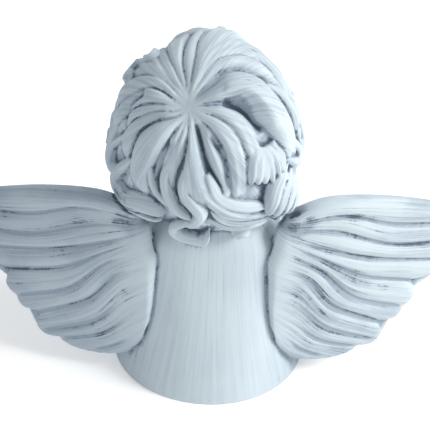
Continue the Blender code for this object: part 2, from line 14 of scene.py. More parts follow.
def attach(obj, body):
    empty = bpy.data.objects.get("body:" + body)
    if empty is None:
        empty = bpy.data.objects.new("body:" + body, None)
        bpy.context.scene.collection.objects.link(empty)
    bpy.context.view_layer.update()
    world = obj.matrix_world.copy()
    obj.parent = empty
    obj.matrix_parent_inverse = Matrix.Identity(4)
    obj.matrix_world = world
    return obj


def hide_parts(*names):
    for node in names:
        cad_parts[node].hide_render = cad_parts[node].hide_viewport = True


bl_info = {
    "name": "Antiqued Grave Cherub",
    "version": (1, 0, 0),
    "blender": (4, 5, 0),
    "location": "3D View > Sidebar > Cherub",
    "description": "Builds a winged cherub bust cast in one piece and rubbed with pale paint",
    "category": "Object",
}

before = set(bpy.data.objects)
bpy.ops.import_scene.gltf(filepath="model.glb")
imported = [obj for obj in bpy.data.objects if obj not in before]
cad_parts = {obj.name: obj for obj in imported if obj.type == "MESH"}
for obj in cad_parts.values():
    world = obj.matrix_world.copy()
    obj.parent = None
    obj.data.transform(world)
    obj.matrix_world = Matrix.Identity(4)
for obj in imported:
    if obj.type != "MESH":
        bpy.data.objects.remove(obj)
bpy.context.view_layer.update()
SOLID = "angel_statue"

MM = 0.001

# trunk stations: height, half width, depth behind, depth in front, squareness of the outline
TRUNK = (
    (-6, 69.5, 69.5, 69.5, 2.0),
    (2, 69.5, 69.0, 69.5, 2.0),
    (18, 65.5, 64.0, 65.0, 2.0),
    (40, 60.0, 55.0, 59.0, 2.1),
    (65, 54.5, 46.5, 54.0, 2.25),
    (90, 51.0, 40.0, 51.0, 2.5),
    (110, 48.0, 37.0, 46.0, 2.6),
    (124, 38.0, 33.0, 36.0, 2.4),
    (136, 27.0, 27.0, 27.0, 2.0),
    (160, 24.0, 24.0, 24.0, 2.0),
)
TRUNK_ROWS = 120
TRUNK_COLUMNS = 240

# head: centre, half axes of the skull
HEAD_CENTRE = (3.0, -5.0, 183.0)
SKULL = (46.5, 51.5, 58.0)
SKULL_BACK = 56.0
HEAD_ROWS = 400
HEAD_COLUMNS = 560
EYE_SIDE = 19.2
EYE_RISE = -7.6
MOUTH_RISE = -40.6

# bed of the hair: radius at the forehead, and how much more it is behind, on top, at the left and at the nape
HAIR_RADIUS = 52.5
HAIR_BEHIND = 7.0
HAIR_TOP = 13.0
HAIR_LEFT = 4.0
HAIR_NAPE = 9.0
WHORL_DIP = 0.6

# metres: radii that turn a surface's angles into lengths of brush stroke, and the step from one surface
# to the next, so that no two carry the same strokes
TRUNK_STROKE_RADIUS = 0.055
HEAD_STROKE_RADIUS = 0.05
CROWN_STROKE_RADIUS = 0.06
STROKE_SHIFT = 0.37
# metres: length of the strokes along a wing, and the room for them across one feather
WING_STROKE_LENGTH = 0.14
FEATHER_STROKE_WIDTH = 0.012

# crown of the hair: for every lock the bearings (degrees) of the crease before it at the arcs
# CROWN_ARCS from the whorl, then its height, its lean and its number of strands
WHORL_TILT = 46.0
CROWN_ARCS = (4, 17, 31, 46, 63, 80)
CROWN = (
    ((330, 323, 320, 318, 317, 316), 4.0, 0.45, 1),
    ((334, 334, 332, 335, 339, 343), 3.4, 0.50, 0),
    ((342, 347, 347, 345, 347, 350), 4.8, 0.50, 3),
    ((355, 366, 369, 378, 388, 400), 4.2, 0.50, 2),
    ((370, 377, 379, 391, 405, 420), -1.2, 0.50, 0),
    ((385, 389, 388, 397, 412, 430), 7.5, 0.68, 2),
    ((420, 423, 421, 442, 455, 468), -2.4, 0.40, 0),
    ((444, 433, 441, 457, 468, 478), 3.8, 0.50, 1),
    ((465, 457, 463, 475, 488, 500), 4.4, 0.50, 1),
    ((490, 482, 485, 493, 502, 510), 3.2, 0.45, 0),
    ((506, 508, 510, 511, 508, 508), 5.4, 0.50, 1),
    ((522, 527, 533, 540, 538, 534), 3.0, 0.60, 0),
    ((533, 540, 548, 552, 554, 552), 4.2, 0.50, 0),
    ((541, 554, 560, 561, 559, 556), 7.4, 0.45, 0),
    ((562, 589, 594, 588, 578, 562), 4.6, 0.50, 2),
    ((589, 607, 608, 605, 603, 594), 4.4, 0.50, 1),
    ((611, 622, 621, 615, 609, 604), 5.0, 0.40, 1),
    ((629, 645, 641, 629, 621, 612), 5.0, 0.55, 1),
    ((660, 661, 656, 647, 639, 632), 4.8, 0.50, 2),
    ((680, 671, 669, 670, 670, 670), 6.0, 0.50, 1),
)
# how far each crease is filled up again, from 0 (cut to the bed) to 1 (gone)
CREASE_FILL = (
    0.45, 0.1, 0.5, 0.65, 0.2, 0.4, 0, 0, 0.5, 0.3,
    0, 0.3, 0.55, 0.2, 0.15, 0.5, 0.3, 0.6, 0.65, 0.6,
)
CROWN_EDGE = 82.0
CROWN_RADIUS = 60.0
CROWN_ROWS = 100
CROWN_SAMPLES = 14
CROWN_THICKNESS = 9.0

# loose locks: path as (bearing, arc) degrees, half width, height, lift at the start and the end
LOOSE_LOCKS = {
    "left side": (((255, 55), (245, 73), (232, 88)), 6.0, 6.0, 0, 3),
    "left temple": (((312, 38), (297, 58), (300, 78)), 6.0, 6.0, 0, 2),
    "right temple": (((50, 56), (66, 70), (80, 80)), 6.0, 6.5, 0, 2),
    "right side": (((60, 74), (77, 86), (92, 98)), 6.0, 6.5, 0, 2),
    "shaded curl": (((240, 50), (242, 72), (234, 80), (222, 68)), 5.0, 5.5, 0, 3),
    "roll upper": (((222, 55), (227, 80), (215, 84), (200, 72), (186, 72)), 7.5, 7.5, 1, 3),
    "roll middle": (((228, 85), (217, 91), (203, 79), (188, 78)), 4.4, 6.0, 3, 4),
    "roll lower": (((226, 89), (212, 94), (199, 93)), 4.4, 6.0, 3, 3),
    "petal foot": (((212, 37), (198, 55), (181, 66)), 4.8, 4.5, 0, 1.5),
    "middle lock": (((183, 28), (190, 48), (180, 64), (167, 72)), 4.6, 5.0, 0, 2),
    "hook": (((162, 30), (173, 52), (164, 67), (173, 77)), 5.6, 5.5, 0, 4),
    "long sweep": (((157, 33), (161, 50), (150, 68), (128, 96)), 5.8, 4.2, 0, 1.5),
    "ring": (((169, 72), (182, 82), (183, 96), (172, 101), (163, 86)), 3.6, 5.0, 4, 7),
    "right knob": (((85, 63), (89, 85), (96, 87), (100, 74)), 5.4, 6.0, 1, 3),
}

# fans of even locks: path of the first and of the last lock, number of locks,
# half width, height, lift at the start and the end
LOCK_FANS = {
    "shell": (((103, 52), (115, 53), (127, 64)), ((99, 57), (103, 70), (110, 82)), 6, 4.6, 4.6, 1, 3),
    "bundle": (((101, 77), (116, 78), (131, 88)), ((106, 106), (114, 108), (121, 110)), 5, 6.2, 5.8, 3, 5),
    "sweeps": (((153, 45), (149, 64), (125, 88)), ((161, 76), (150, 87), (130, 103)), 4, 5.4, 4.0, 0, 1.5),
}

# strokes of the carver in the crown: path as (bearing, arc) degrees, half width, height (below 0 cuts)
STROKES = {
    "left trough": (((277, 31), (261, 43), (243, 52)), 3.6, -4.5),
    "left shade": (((250, 51), (238, 60), (224, 64)), 4.5, -3.5),
    "petal foot": (((192, 23), (196, 42), (190, 60)), 2.4, -3.0),
    "middle trough": (((165, 18), (174, 40), (180, 60)), 2.4, -3.0),
    "long trough": (((140, 11), (150, 36), (147, 60)), 4.4, -6.5),
    "long trough right": (((130, 20), (133, 40), (143, 60)), 3.2, -4.0),
    "arch trough": (((63, 21), (76, 36), (90, 52)), 3.4, -6.0),
    "arch": (((53, 22), (63, 40), (86, 55)), 5.0, 3.4),
}
STROKE_STEPS = 28

# rows of curls round the face and below the hair
FRINGE_CURLS = 8
FRINGE_RISE = 29.0
FRINGE_SPREAD = 60.0
SIDE_CURLS = ((62, 12), (68, -8), (72, -28), (90, -38), (86, 2), (108, -30), (84, 24), (110, -8))
NAPE_CURLS = ((148, 102), (228, 99), (126, 106), (294, 61), (305, 50), (284, 56))
CURL_RADIUS = 7.0
CURL_HALF_WIDTH = 4.2
CURL_HEIGHT = 6.5
LOCK_STEPS = 48
LOCK_ACROSS = 15
BED_DEPTH = 5.0

# wing: its span, the span it is drawn at below,
# and every feather edge as four points (outward, up) from root to tip
WING_SPAN = 371.0
DRAWN_WING_SPAN = 374.0
FEATHER_EDGES = (
    ((50, 134), (79, 145), (124, 141), (181, 123)),
    ((48, 131), (91, 134), (130, 119), (187, 111)),
    ((46, 128), (84, 122), (129, 104), (186, 97)),
    ((44, 126), (78, 109), (119, 94), (176, 81)),
    ((43, 121), (77, 101), (107, 81), (151, 68)),
    ((42, 112), (76, 92), (103, 64), (143, 47)),
    ((39, 99), (65, 86), (88, 59), (127, 37)),
    ((40, 80), (60, 67), (85, 41), (123, 24)),
    ((41, 64), (56, 53), (80, 32), (112, 20)),
    ((43, 50), (54, 38), (67, 25), (87, 14)),
    ((47, 42), (48, 33), (51, 26), (57, 19)),
)
FEATHER_NICKS = {1: 5.0, 2: 6.0, 3: 8.0, 4: 8.5, 5: 4.0, 6: 6.5, 8: 4.0}
WING_ROOT_HALF_THICKNESS = 9.5
WING_TIP_HALF_THICKNESS = 3.2
WING_STEPS = 110
FEATHER_SAMPLES = 15
# middle surface of the wing: its distance behind the axis at the foot, its lean forward over its height,
# and its sweep forward from the root over the reach
WING_BEHIND = 37.0
WING_LEAN = 13.0
WING_HEIGHT = 130.0
WING_SWEEP = 26.0
SWEEP_ROOT = 40.0
SWEEP_REACH = 110.0

# parts of the casting for the paint, each the product of ramps along an axis of the casting, in metres:
# from 0 to 1, or from and to the two last numbers; beside is the distance from the middle plane
ON_THE_BACK = ("Y", 0.0, 0.02)
MASKS = {
    "off the face": (("Y", -0.045, -0.03, 0.3, 1.0),),
    "head": (("Z", 0.115, 0.14),),
    "curls": (("Z", 0.15, 0.165), ON_THE_BACK),
    "nape": (("Z", 0.125, 0.135), ON_THE_BACK, ("Z", 0.145, 0.175, 1.0, 0.0), ("X", 0.03, 0.045, 1.0, 0.0)),
    "wings": (("beside", 0.045, 0.07),),
    "feathers": (("beside", 0.045, 0.07), ("Z", 0.15, 0.165, 1.0, 0.0)),
    "wing joints": (("beside", 0.03, 0.04), ("Z", 0.12, 0.14, 1.0, 0.0)),
    "foot flanks": (("beside", 0.03, 0.055), ("Z", 0.015, 0.05, 1.0, 0.0)),
    # painted shade: the statue's left side darker, and its left wing darker still toward the tip
    "left side": (("X", 0.02, 0.09),),
    "left tip": (("X", 0.12, 0.17),),
}
# round darker spots on the back, metres: axis, place on it, height, inner radius and outer radius; the one on
# the right wing is a darker patch, the one at the wing roots is painted shade where wings, hair and trunk
# meet
DARK_SPOTS_AND_SHADE = {
    "right wing": ("X", -0.080, 0.085, 0.0, 0.045),
    "wing roots": ("beside", 0.050, 0.136, 0.008, 0.026),
}
# noise of the paint: cells for each metre along and across the strokes
FINE_STROKES = (16.0, 1100.0, 1.0)
BROAD_STROKES = (10.0, 260.0, 1.0)
EVENLY = (1.0, 1.0, 1.0)
# sums of recess, darker spots and painted shade, strokes and noise at which a layer of paint starts, and at
# which it covers fully
WEAR_STARTS_COVERS = (-0.6, 1.1)
WASH_STARTS_COVERS = (0.05, 1.5)
GROUND_STARTS_COVERS = (1.1, 2.9)

# photograph: side of the frame in pixels, and how many pixels the lens is shifted by
FRAME_PIXELS = 430.0
VIEW_SHIFT = (2.03, 7.24)
SENSOR_WIDTH = 36.0

# lights: place, side of the square in metres, power, colour
LIGHTS = {
    "key_right": ((-1.75, 0.45, 1.3), 0.9, 44.0, (1.0, 0.985, 0.96)),
    "fill_left": ((1.5, 0.8, 0.9), 1.4, 3.0, (0.92, 0.96, 1.0)),
    "front_soft": ((0.2, -1.6, 1.2), 1.4, 9.0, (1.0, 1.0, 1.0)),
}
LIGHT_AIM = (0.0, 0.0, 0.12)
ROOM_COLOUR = (0.94, 0.97, 1.0, 1.0)
ROOM_STRENGTH = 0.50
FLOOR_HALF = 6.0
FLOOR_POINTS = 9
FLOOR_GAP = 0.0002


class CherubSizes(bpy.types.PropertyGroup):
    """Sizes of the casting's surface."""

    head_turn: bpy.props.FloatProperty(
        name="Head turn", description="Turn of the head about the upright axis",
        default=math.radians(-22.3), subtype="ANGLE", unit="ROTATION")
    feather_relief: bpy.props.FloatProperty(
        name="Feather relief", description="Height of the rounded back of a feather",
        default=2.7 * MM, subtype="DISTANCE", unit="LENGTH")
    strand_relief: bpy.props.FloatProperty(
        name="Strand relief", description="Depth of the combed lines on the locks",
        default=0.45 * MM, subtype="DISTANCE", unit="LENGTH")
    skin_cell: bpy.props.FloatProperty(
        name="Skin cell", description="Cell of the skin that fuses the surfaces",
        default=0.8 * MM, subtype="DISTANCE", unit="LENGTH")
    triangles: bpy.props.IntProperty(
        name="Triangles", description="Triangles the finished skin is thinned to",
        default=190000, min=1000)


class CherubPaint(bpy.types.PropertyGroup):
    """Colours and finish of the antiqued paint."""

    pale: bpy.props.FloatVectorProperty(
        name="Pale paint", description="Paint rubbed over the raised surfaces",
        default=(0.56, 0.645, 0.695), size=3, min=0, max=1, subtype="COLOR")
    # the wash is also the colour of the painted shade on the left side and in the broad troughs
    wash: bpy.props.FloatVectorProperty(
        name="Wash", description="Thin blue-grey wash between the brush strokes",
        default=(0.27, 0.33, 0.40), size=3, min=0, max=1, subtype="COLOR")
    # the dark ground also stands for painted shade in the broad troughs and at the wing roots
    ground: bpy.props.FloatVectorProperty(
        name="Dark ground", description="Slate-blue ground left in the recesses",
        default=(0.045, 0.06, 0.10), size=3, min=0, max=1, subtype="COLOR")
    roughness: bpy.props.FloatProperty(
        name="Roughness", description="Mean roughness of the paint",
        default=0.62, min=0, max=1, subtype="FACTOR")


class CherubStage(bpy.types.PropertyGroup):
    """Floor, lights and the photograph's viewing angle."""

    azimuth: bpy.props.FloatProperty(
        name="Azimuth", description="Bearing of the camera, 0 in front and 180 behind",
        default=math.radians(178.7), subtype="ANGLE", unit="ROTATION")
    elevation: bpy.props.FloatProperty(
        name="Elevation", description="Height of the camera above level",
        default=math.radians(35.0), subtype="ANGLE", unit="ROTATION")
    roll: bpy.props.FloatProperty(
        name="Roll", description="Roll of the camera about its own axis",
        default=math.radians(2.5), subtype="ANGLE", unit="ROTATION")
    distance: bpy.props.FloatProperty(
        name="Distance", description="Distance of the camera from the aim point",
        default=1.0, subtype="DISTANCE", unit="LENGTH")
    aim_height: bpy.props.FloatProperty(
        name="Aim height", description="Height of the aim point on the upright axis",
        default=0.110, subtype="DISTANCE", unit="LENGTH")
    focal_pixels: bpy.props.FloatProperty(
        name="Focal length", description="Focal length in pixels of a 430 pixel frame", default=1412.9)
    floor_colour: bpy.props.FloatVectorProperty(
        name="Floor", description="Colour of the pale floor",
        default=(0.94, 0.94, 0.94), size=3, min=0, max=1, subtype="COLOR")


def ramp(value, low, high):
    """Smooth step from 0 at low to 1 at high: s * s * (3 - 2 s)."""
    share = np.clip((value - low) / (high - low), 0, 1)
    return share * share * (3 - 2 * share)


def hill(across, up, centre_across, centre_up, half_across, half_up):
    """Round hill of height 1: e to minus the squared distance in half widths."""
    return np.exp(-((across - centre_across) / half_across) ** 2 - ((up - centre_up) / half_up) ** 2)


def unit(vectors):
    """Vectors scaled to length 1."""
    return vectors / np.maximum(np.linalg.norm(vectors, axis=-1, keepdims=True), 1e-12)


def through(nodes, share):
    """Cubic curve through evenly spaced nodes, its slope at a node half the step between its neighbours."""
    nodes = np.asarray(nodes, float)
    spans = len(nodes) - 1
    first = 2 * nodes[:1] - nodes[1:2]
    last = 2 * nodes[-1:] - nodes[-2:-1]
    padded = np.concatenate([first, nodes, last])
    place = np.clip(np.asarray(share, float), 0, 1) * spans
    span = np.minimum(place.astype(int), spans - 1)
    part = (place - span).reshape(place.shape + (1,) * (nodes.ndim - 1))
    a, b, c, d = padded[span], padded[span + 1], padded[span + 2], padded[span + 3]
    curve = 2 * b + (c - a) * part + (2 * a - 5 * b + 4 * c - d) * part ** 2
    return 0.5 * (curve + (3 * b - a - 3 * c + d) * part ** 3)


class Skin:
    """Closed grid surfaces gathered for fusing, each with its own stroke coordinates."""

    def __init__(self):
        self.points = []
        self.faces = []
        self.strokes = []
        self.count = 0
        self.shift = 0.0

    def add(self, points, corners, strokes, period=0.0):
        """Add a grid; corners is (rows, columns, 4), and the last column closes the ring after the period."""
        strokes = strokes + np.array([0.0, self.shift])
        self.shift += STROKE_SHIFT
        flat = strokes.reshape(-1, 2)[corners]
        flat[:, -1, 1:3, 1] += period
        self.points.append(points.reshape(-1, 3))
        self.faces.append(corners.reshape(-1, 4) + self.count)
        self.strokes.append(flat.reshape(-1, 2))
        self.count += points.reshape(-1, 3).shape[0]

    def mesh(self, name):
        """The gathered surfaces as one mesh with a UV map named strokes."""
        mesh = bpy.data.meshes.new(name)
        mesh.from_pydata(np.concatenate(self.points), [], np.concatenate(self.faces))
        layer = mesh.uv_layers.new(name="strokes")
        layer.data.foreach_set("uv", np.concatenate(self.strokes).astype(np.float32).ravel())
        return mesh


def ring_corners(rows, columns):
    """Quad corners of a grid whose columns close into a ring."""
    row = np.arange(rows - 1)[:, None] * columns
    column = np.arange(columns)[None]
    after = (column + 1) % columns
    return np.stack([row + column, row + after, row + columns + after, row + columns + column], -1)


def add_tube(skin, rings, strokes, period=0.0):
    """Closed tube: rings along a path, with a last ring drawn to a point at each end."""
    start = rings[:1].mean(axis=1, keepdims=True) + 0 * rings[:1]
    end = rings[-1:].mean(axis=1, keepdims=True) + 0 * rings[-1:]
    points = np.concatenate([start, rings, end])
    strokes = np.concatenate([strokes[:1], strokes, strokes[-1:]])
    skin.add(points, ring_corners(*points.shape[:2]), strokes, period)


def add_collar(skin, outer, depth, strokes, period):
    """Closed shell: the ring grid outside, the same grid nearer the centre inside, joined at both borders."""
    inner = outer * (1 - depth / np.linalg.norm(outer, axis=-1, keepdims=True))
    points = np.concatenate([outer, inner[::-1], outer[:1]])
    strokes = np.concatenate([strokes, strokes[::-1], strokes[:1]])
    skin.add(place_head(points), ring_corners(*points.shape[:2]), strokes, period)


def add_trunk(skin):
    """Bell of superellipses r = (|cos t / a|^n + |sin t / b|^n)^(-1/n), pressed out at chest and belly."""
    stations = np.array(TRUNK, float)
    heights = np.linspace(stations[0, 0], stations[-1, 0], TRUNK_ROWS)
    share = np.interp(heights, stations[:, 0], np.linspace(0, 1, len(stations)))
    profile = through(stations, share)[:, :, None]
    turn = np.linspace(-np.pi / 2, 1.5 * np.pi, TRUNK_COLUMNS, endpoint=False)[None]
    wide, behind, before, square = profile[:, 1], profile[:, 2], profile[:, 3], profile[:, 4]
    deep = np.where(np.sin(turn) > 0, behind, before)
    radius = (np.abs(np.cos(turn) / wide) ** square + np.abs(np.sin(turn) / deep) ** square) ** (-1 / square)
    x = radius * np.cos(turn)
    y = radius * np.sin(turn)
    z = heights[:, None] + 0 * x
    chest = 3.2 * hill(np.abs(x), z, 17, 92, 15, 13) - 1.6 * hill(x, z, 0, 96, 4.5, 17)
    belly = 3.0 * hill(x, z, 0, 58, 26, 22)
    y = y - (chest + belly) * np.clip(-y / 40, 0, 1)
    strokes = np.stack([z * MM, (turn + 0 * z) * TRUNK_STROKE_RADIUS], -1)
    add_tube(skin, np.stack([x, y, z], -1) * MM, strokes, 2 * np.pi * TRUNK_STROKE_RADIUS)


def place_head(points):
    """Turn points made round the head's centre about Z and move them onto the neck."""
    turn = bpy.context.scene.cherub_sizes.head_turn
    x = points[..., 0] * math.cos(turn) - points[..., 1] * math.sin(turn)
    y = points[..., 0] * math.sin(turn) + points[..., 1] * math.cos(turn)
    return np.stack([x, y, points[..., 2]], -1) + np.array(HEAD_CENTRE) * MM


def whorl_frame():
    """Directions of the whorl, of bearing 0 (over the top) and of bearing 90."""
    tilt = math.radians(WHORL_TILT)
    whorl = np.array([0, math.sin(tilt), math.cos(tilt)])
    over = np.array([0, -math.cos(tilt), math.sin(tilt)])
    return whorl, over, np.array([-1.0, 0, 0])


def on_crown(bearing, arc):
    """Direction cos(arc) whorl + sin(arc) (cos(bearing) over + sin(bearing) right), in degrees."""
    whorl, over, right = whorl_frame()
    turn = np.radians(np.asarray(bearing, float))[..., None]
    away = np.radians(np.asarray(arc, float))[..., None]
    return np.cos(away) * whorl + np.sin(away) * (np.cos(turn) * over + np.sin(turn) * right)


def on_face(side, rise):
    """Direction at degrees sideways from the nose (left positive) and degrees up."""
    side, rise = np.broadcast_arrays(np.radians(np.asarray(side, float)), np.radians(np.asarray(rise, float)))
    return np.stack([np.cos(rise) * np.sin(side), -np.cos(rise) * np.cos(side), np.sin(rise)], -1)


def hair_radius(direction):
    """Distance to the bed of the hair: a radius, soft steps behind, at the left and below, a hill on top."""
    x, y, z = direction[..., 0], direction[..., 1], direction[..., 2]
    from_whorl = np.degrees(np.arccos(np.clip(direction @ whorl_frame()[0], -1, 1)))
    from_top = np.degrees(np.arccos(np.clip(direction @ on_face(25, 64), -1, 1)))
    radius = HAIR_RADIUS + HAIR_BEHIND * ramp(y, -0.55, 0.25) + HAIR_TOP * np.exp(-(from_top / 26) ** 2)
    radius = radius + HAIR_LEFT * ramp(x, 0.1, 0.9) * ramp(y, -0.4, 0.1)
    radius = radius + HAIR_NAPE * ramp(-z, -0.05, 0.62) * ramp(y, -0.55, 0.1)
    return (radius - WHORL_DIP * np.exp(-(from_whorl / 8) ** 2)) * MM


def carving(direction):
    """Relief in mm: each stroke is h e^-(distance / half width)^p, fading at both ends by 1 - |2 t - 1|^6.

    The highest ridge (p = 2.4) and the deepest cut (p = 1.5) at a place are added.
    """
    place = direction.reshape(-1, 3)
    points = place * hair_radius(place)[:, None] / MM
    raised = np.zeros(len(place))
    cut = np.zeros(len(place))
    share = np.linspace(0, 1, STROKE_STEPS)
    for path, half_width, height in STROKES.values():
        nodes = unit(through(on_crown(*np.array(path, float).T), share))
        nodes = nodes * hair_radius(nodes)[:, None] / MM
        middle = nodes.mean(axis=0)
        reach = np.linalg.norm(nodes - middle, axis=1).max() + 3.2 * half_width
        near = np.nonzero(np.linalg.norm(points - middle, axis=1) < reach)[0]
        start, step = nodes[:-1], np.diff(nodes, axis=0)
        offset = points[near][:, None] - start[None]
        along = np.clip((offset * step).sum(-1) / (step ** 2).sum(-1), 0, 1)
        distance = np.linalg.norm(offset - along[..., None] * step, axis=-1)
        best = distance.argmin(axis=1)
        row = np.arange(len(near))
        place_along = (best + along[row, best]) / (STROKE_STEPS - 1)
        power = 2.4 if height > 0 else 1.5
        stroke = height * np.exp(-(distance[row, best] / half_width) ** power)
        stroke = stroke * (1 - np.abs(2 * place_along - 1) ** 6)
        if height > 0:
            raised[near] = np.maximum(raised[near], stroke)
        else:
            cut[near] = np.minimum(cut[near], stroke)
    return (raised + cut).reshape(direction.shape[:-1])


def add_crown(skin):
    """Locks fanned round the whorl: between two creases the height is f + (h - f) (1 - |2 s - 1|^2.2)^0.85.

    f is the floor of the filled creases, and fine strands line each lock.
    """
    strand = bpy.context.scene.cherub_sizes.strand_relief / MM
    bearings = [lock[0] for lock in CROWN]
    bearings.append([bearing + 360 for bearing in CROWN[0][0]])
    arcs = np.linspace(0.05, CROWN_EDGE, CROWN_ROWS)
    share = np.interp(arcs, CROWN_ARCS, np.linspace(0, 1, len(CROWN_ARCS)))
    creases = np.maximum.accumulate(through(np.array(bearings, float).T, share), axis=1)
    part = (1 - np.cos(np.pi * np.arange(CROWN_SAMPLES) / CROWN_SAMPLES)) / 2
    grown = ramp(arcs, 2, 26) * (1 - 0.35 * ramp(arcs, 60, CROWN_EDGE))
    sunk = ramp(arcs, 14, 30) * (1 - 0.8 * ramp(arcs, 55, 75))
    columns = []
    heights = []
    tops = [max(lock[1], 0) for lock in CROWN]
    floors = [fill * min(tops[number - 1], tops[number]) for number, fill in enumerate(CREASE_FILL)]
    floors.append(floors[0])
    for number, (_, height, lean, strands) in enumerate(CROWN):
        near, far = creases[:, number:number + 1], creases[:, number + 1:number + 2]
        columns.append(near * (1 - part) + far * part)
        width = np.radians(far - near)[:, 0] * np.sin(np.radians(arcs)) * CROWN_RADIUS
        across = 2 * part ** (math.log(0.5) / math.log(lean)) - 1
        if height > 0:
            profile = np.maximum(1 - np.abs(across) ** 2.2, 0) ** 0.85
            lines = np.cos(2 * np.pi * (strands + 1) * part + 0.6 * np.sin(number))
            lines = lines * (1 - (2 * part - 1) ** 6)
            floor = ramp(arcs, 12, 30)[:, None] * (floors[number] * (1 - part) + floors[number + 1] * part)
            top = np.minimum(height * grown, 0.55 * width)[:, None]
            floor = np.minimum(floor, 0.8 * top)
            back = floor + (top - floor) * profile
            heights.append(back - strand * (strands > 0) * np.clip(width / 14, 0, 1)[:, None] * lines)
        else:
            heights.append((height * sunk)[:, None] * (1 - across ** 2))
    bearing = np.concatenate(columns, 1)
    arc = arcs[:, None] + 0 * bearing
    direction = on_crown(bearing, arc)
    around = bearing % 360
    loose = ramp(arc, 56, 70) * ramp(around, 95, 125) * (1 - ramp(around, 225, 250))
    relief = np.concatenate(heights, 1) * (1 - 0.85 * loose) + carving(direction)
    radius = hair_radius(direction) + relief * MM
    strokes = np.stack([np.radians(arc) * CROWN_STROKE_RADIUS, np.radians(bearing) * HEAD_STROKE_RADIUS], -1)
    outer = direction * radius[..., None]
    add_collar(skin, outer, CROWN_THICKNESS * MM, strokes, 2 * np.pi * HEAD_STROKE_RADIUS)


def add_lock(skin, path, half_width, height, lift_start, lift_end, phase=0.0):
    """Strip along a path of directions: across it the height is h (1 - |s|^2.2)^1.1, narrowing to a point."""
    strand = bpy.context.scene.cherub_sizes.strand_relief
    along = np.linspace(0, 1, LOCK_STEPS)
    direction = unit(through(path, along))
    middle = direction * hair_radius(direction)[:, None]
    sideways = unit(np.cross(unit(np.gradient(middle, axis=0)), direction))
    opening = 0.3 + 0.7 * np.sin(np.pi / 2 * np.clip(along / 0.5, 0, 1))
    closing = np.maximum(1 - np.clip((along - 0.5) / 0.5, 0, 1) ** 2.2, 0.0004) ** 0.65
    falling = np.maximum(1 - np.clip((along - 0.6) / 0.4, 0, 1) ** 2.5, 0.01) ** 0.5
    rise = (0.4 + 0.6 * ramp(along, 0, 0.35)) * falling
    width = opening * closing
    across = np.linspace(-1, 1, LOCK_ACROSS)
    back = np.maximum(1 - np.abs(across) ** 2.2, 0) ** 1.1
    strands = max(1, round(half_width / 2))
    lines = np.cos(strands * np.pi * across + phase) * (1 - across ** 4)
    lift = (lift_start + (lift_end - lift_start) * ramp(along, 0.1, 1)) * MM
    offset = width[:, None] * across[None] * half_width * MM
    spread = unit(middle[:, None] + sideways[:, None] * offset[..., None])
    bed = hair_radius(spread)
    upper = bed + lift[:, None] + height * MM * rise[:, None] * back[None]
    upper = upper + strand * (rise * np.minimum(width, 1))[:, None] * lines[None]
    lower = bed - BED_DEPTH * MM + 0.3 * lift[:, None]
    rings = np.concatenate([spread * upper[..., None], (spread * lower[..., None])[:, ::-1]], 1)
    length = np.linalg.norm(np.diff(middle, axis=0), axis=1).sum()
    strokes = np.stack([along[:, None] * length + 0 * offset, offset], -1)
    strokes = np.concatenate([strokes, strokes[:, ::-1]], 1)
    add_tube(skin, place_head(rings), strokes)


def add_curl(skin, centre, hand, start, radius, half_width, height, lift):
    """Lock along a spiral round a direction: the reach falls as r (1 - 0.92 t^0.8) over 1.2 turns."""
    east = unit(np.cross(np.array([0, 0, 1.0]), centre))
    north = np.cross(centre, east)
    along = np.linspace(0, 1, LOCK_STEPS)
    angle = math.radians(start) + hand * 2.4 * np.pi * along
    reach = radius * (1 - 0.92 * along ** 0.8) * MM
    path = centre * hair_radius(centre) + east * (reach * np.cos(angle))[:, None]
    path = path + north * (reach * np.sin(angle))[:, None]
    add_lock(skin, unit(path), half_width, height, lift, lift, start)


def add_loose_locks(skin):
    """Single locks over the lower border of the crown, each along the curve through its path."""
    for number, (path, *sizes) in enumerate(LOOSE_LOCKS.values()):
        add_lock(skin, on_crown(*np.array(path, float).T), *sizes, 1.7 * number)


def add_fanned_locks(skin):
    """Fans of locks: the path of each is (1 - s) first + s last, with s evenly spread from 0 to 1."""
    for first, last, count, *sizes in LOCK_FANS.values():
        for number, share in enumerate(np.linspace(0, 1, count)):
            path = (1 - share) * np.array(first, float) + share * np.array(last, float)
            add_lock(skin, on_crown(*path.T), *sizes, 1.7 * number)


def add_fringe(skin):
    """Wavy locks over the forehead, each ending in a curl; sine waves vary their height, place and size."""
    for number, side in enumerate(np.linspace(-FRINGE_SPREAD, FRINGE_SPREAD, FRINGE_CURLS)):
        hand = 1 if math.sin(2.1 * number + 1) > 0 else -1
        rise = FRINGE_RISE + 5 * math.sin(2.4 * number)
        side = side + 3 * math.sin(4.3 * number)
        size = 1 + 0.28 * math.sin(1.9 * number + 0.7)
        sides = (side * 0.7, side * 0.95 + 9 * hand, side * 1.05 - 3 * hand, side - 6 * hand)
        add_lock(skin, on_face(sides, (74, 54, 42, rise - 2)), 8.0, 6.0, 0.5, 2.5, number)
        centre = on_face(side, rise)
        add_curl(skin, centre, hand, 90 + 35 * hand * (number % 3), size * CURL_RADIUS,
                 size * CURL_HALF_WIDTH, CURL_HEIGHT, 1.5)


def add_side_curls(skin):
    """Curls beside the face and over the ears, mirrored, with the locks that feed them."""
    for hand in (-1, 1):
        for number, (side, rise) in enumerate(SIDE_CURLS):
            turn = hand * (1 if number % 2 else -1)
            start = 90 + 40 * number
            centre = on_face(hand * side, rise)
            add_curl(skin, centre, turn, start, 1.1 * CURL_RADIUS, CURL_HALF_WIDTH, CURL_HEIGHT, 1.5)
            sides = (hand * (side + 6), hand * (side + 1), hand * (side + 6))
            add_lock(skin, on_face(sides, (rise + 26, rise + 12, rise - 4)), 6.0, 5.5, 0, 1.0, number)


def add_nape_curls(skin):
    """Curls along the lower border of the hair at the back."""
    for number, (bearing, arc) in enumerate(NAPE_CURLS):
        hand = 1 if number % 2 else -1
        centre = on_crown(bearing, arc)
        add_curl(skin, centre, hand, 60 * number, CURL_RADIUS, CURL_HALF_WIDTH, CURL_HEIGHT, 1.5)


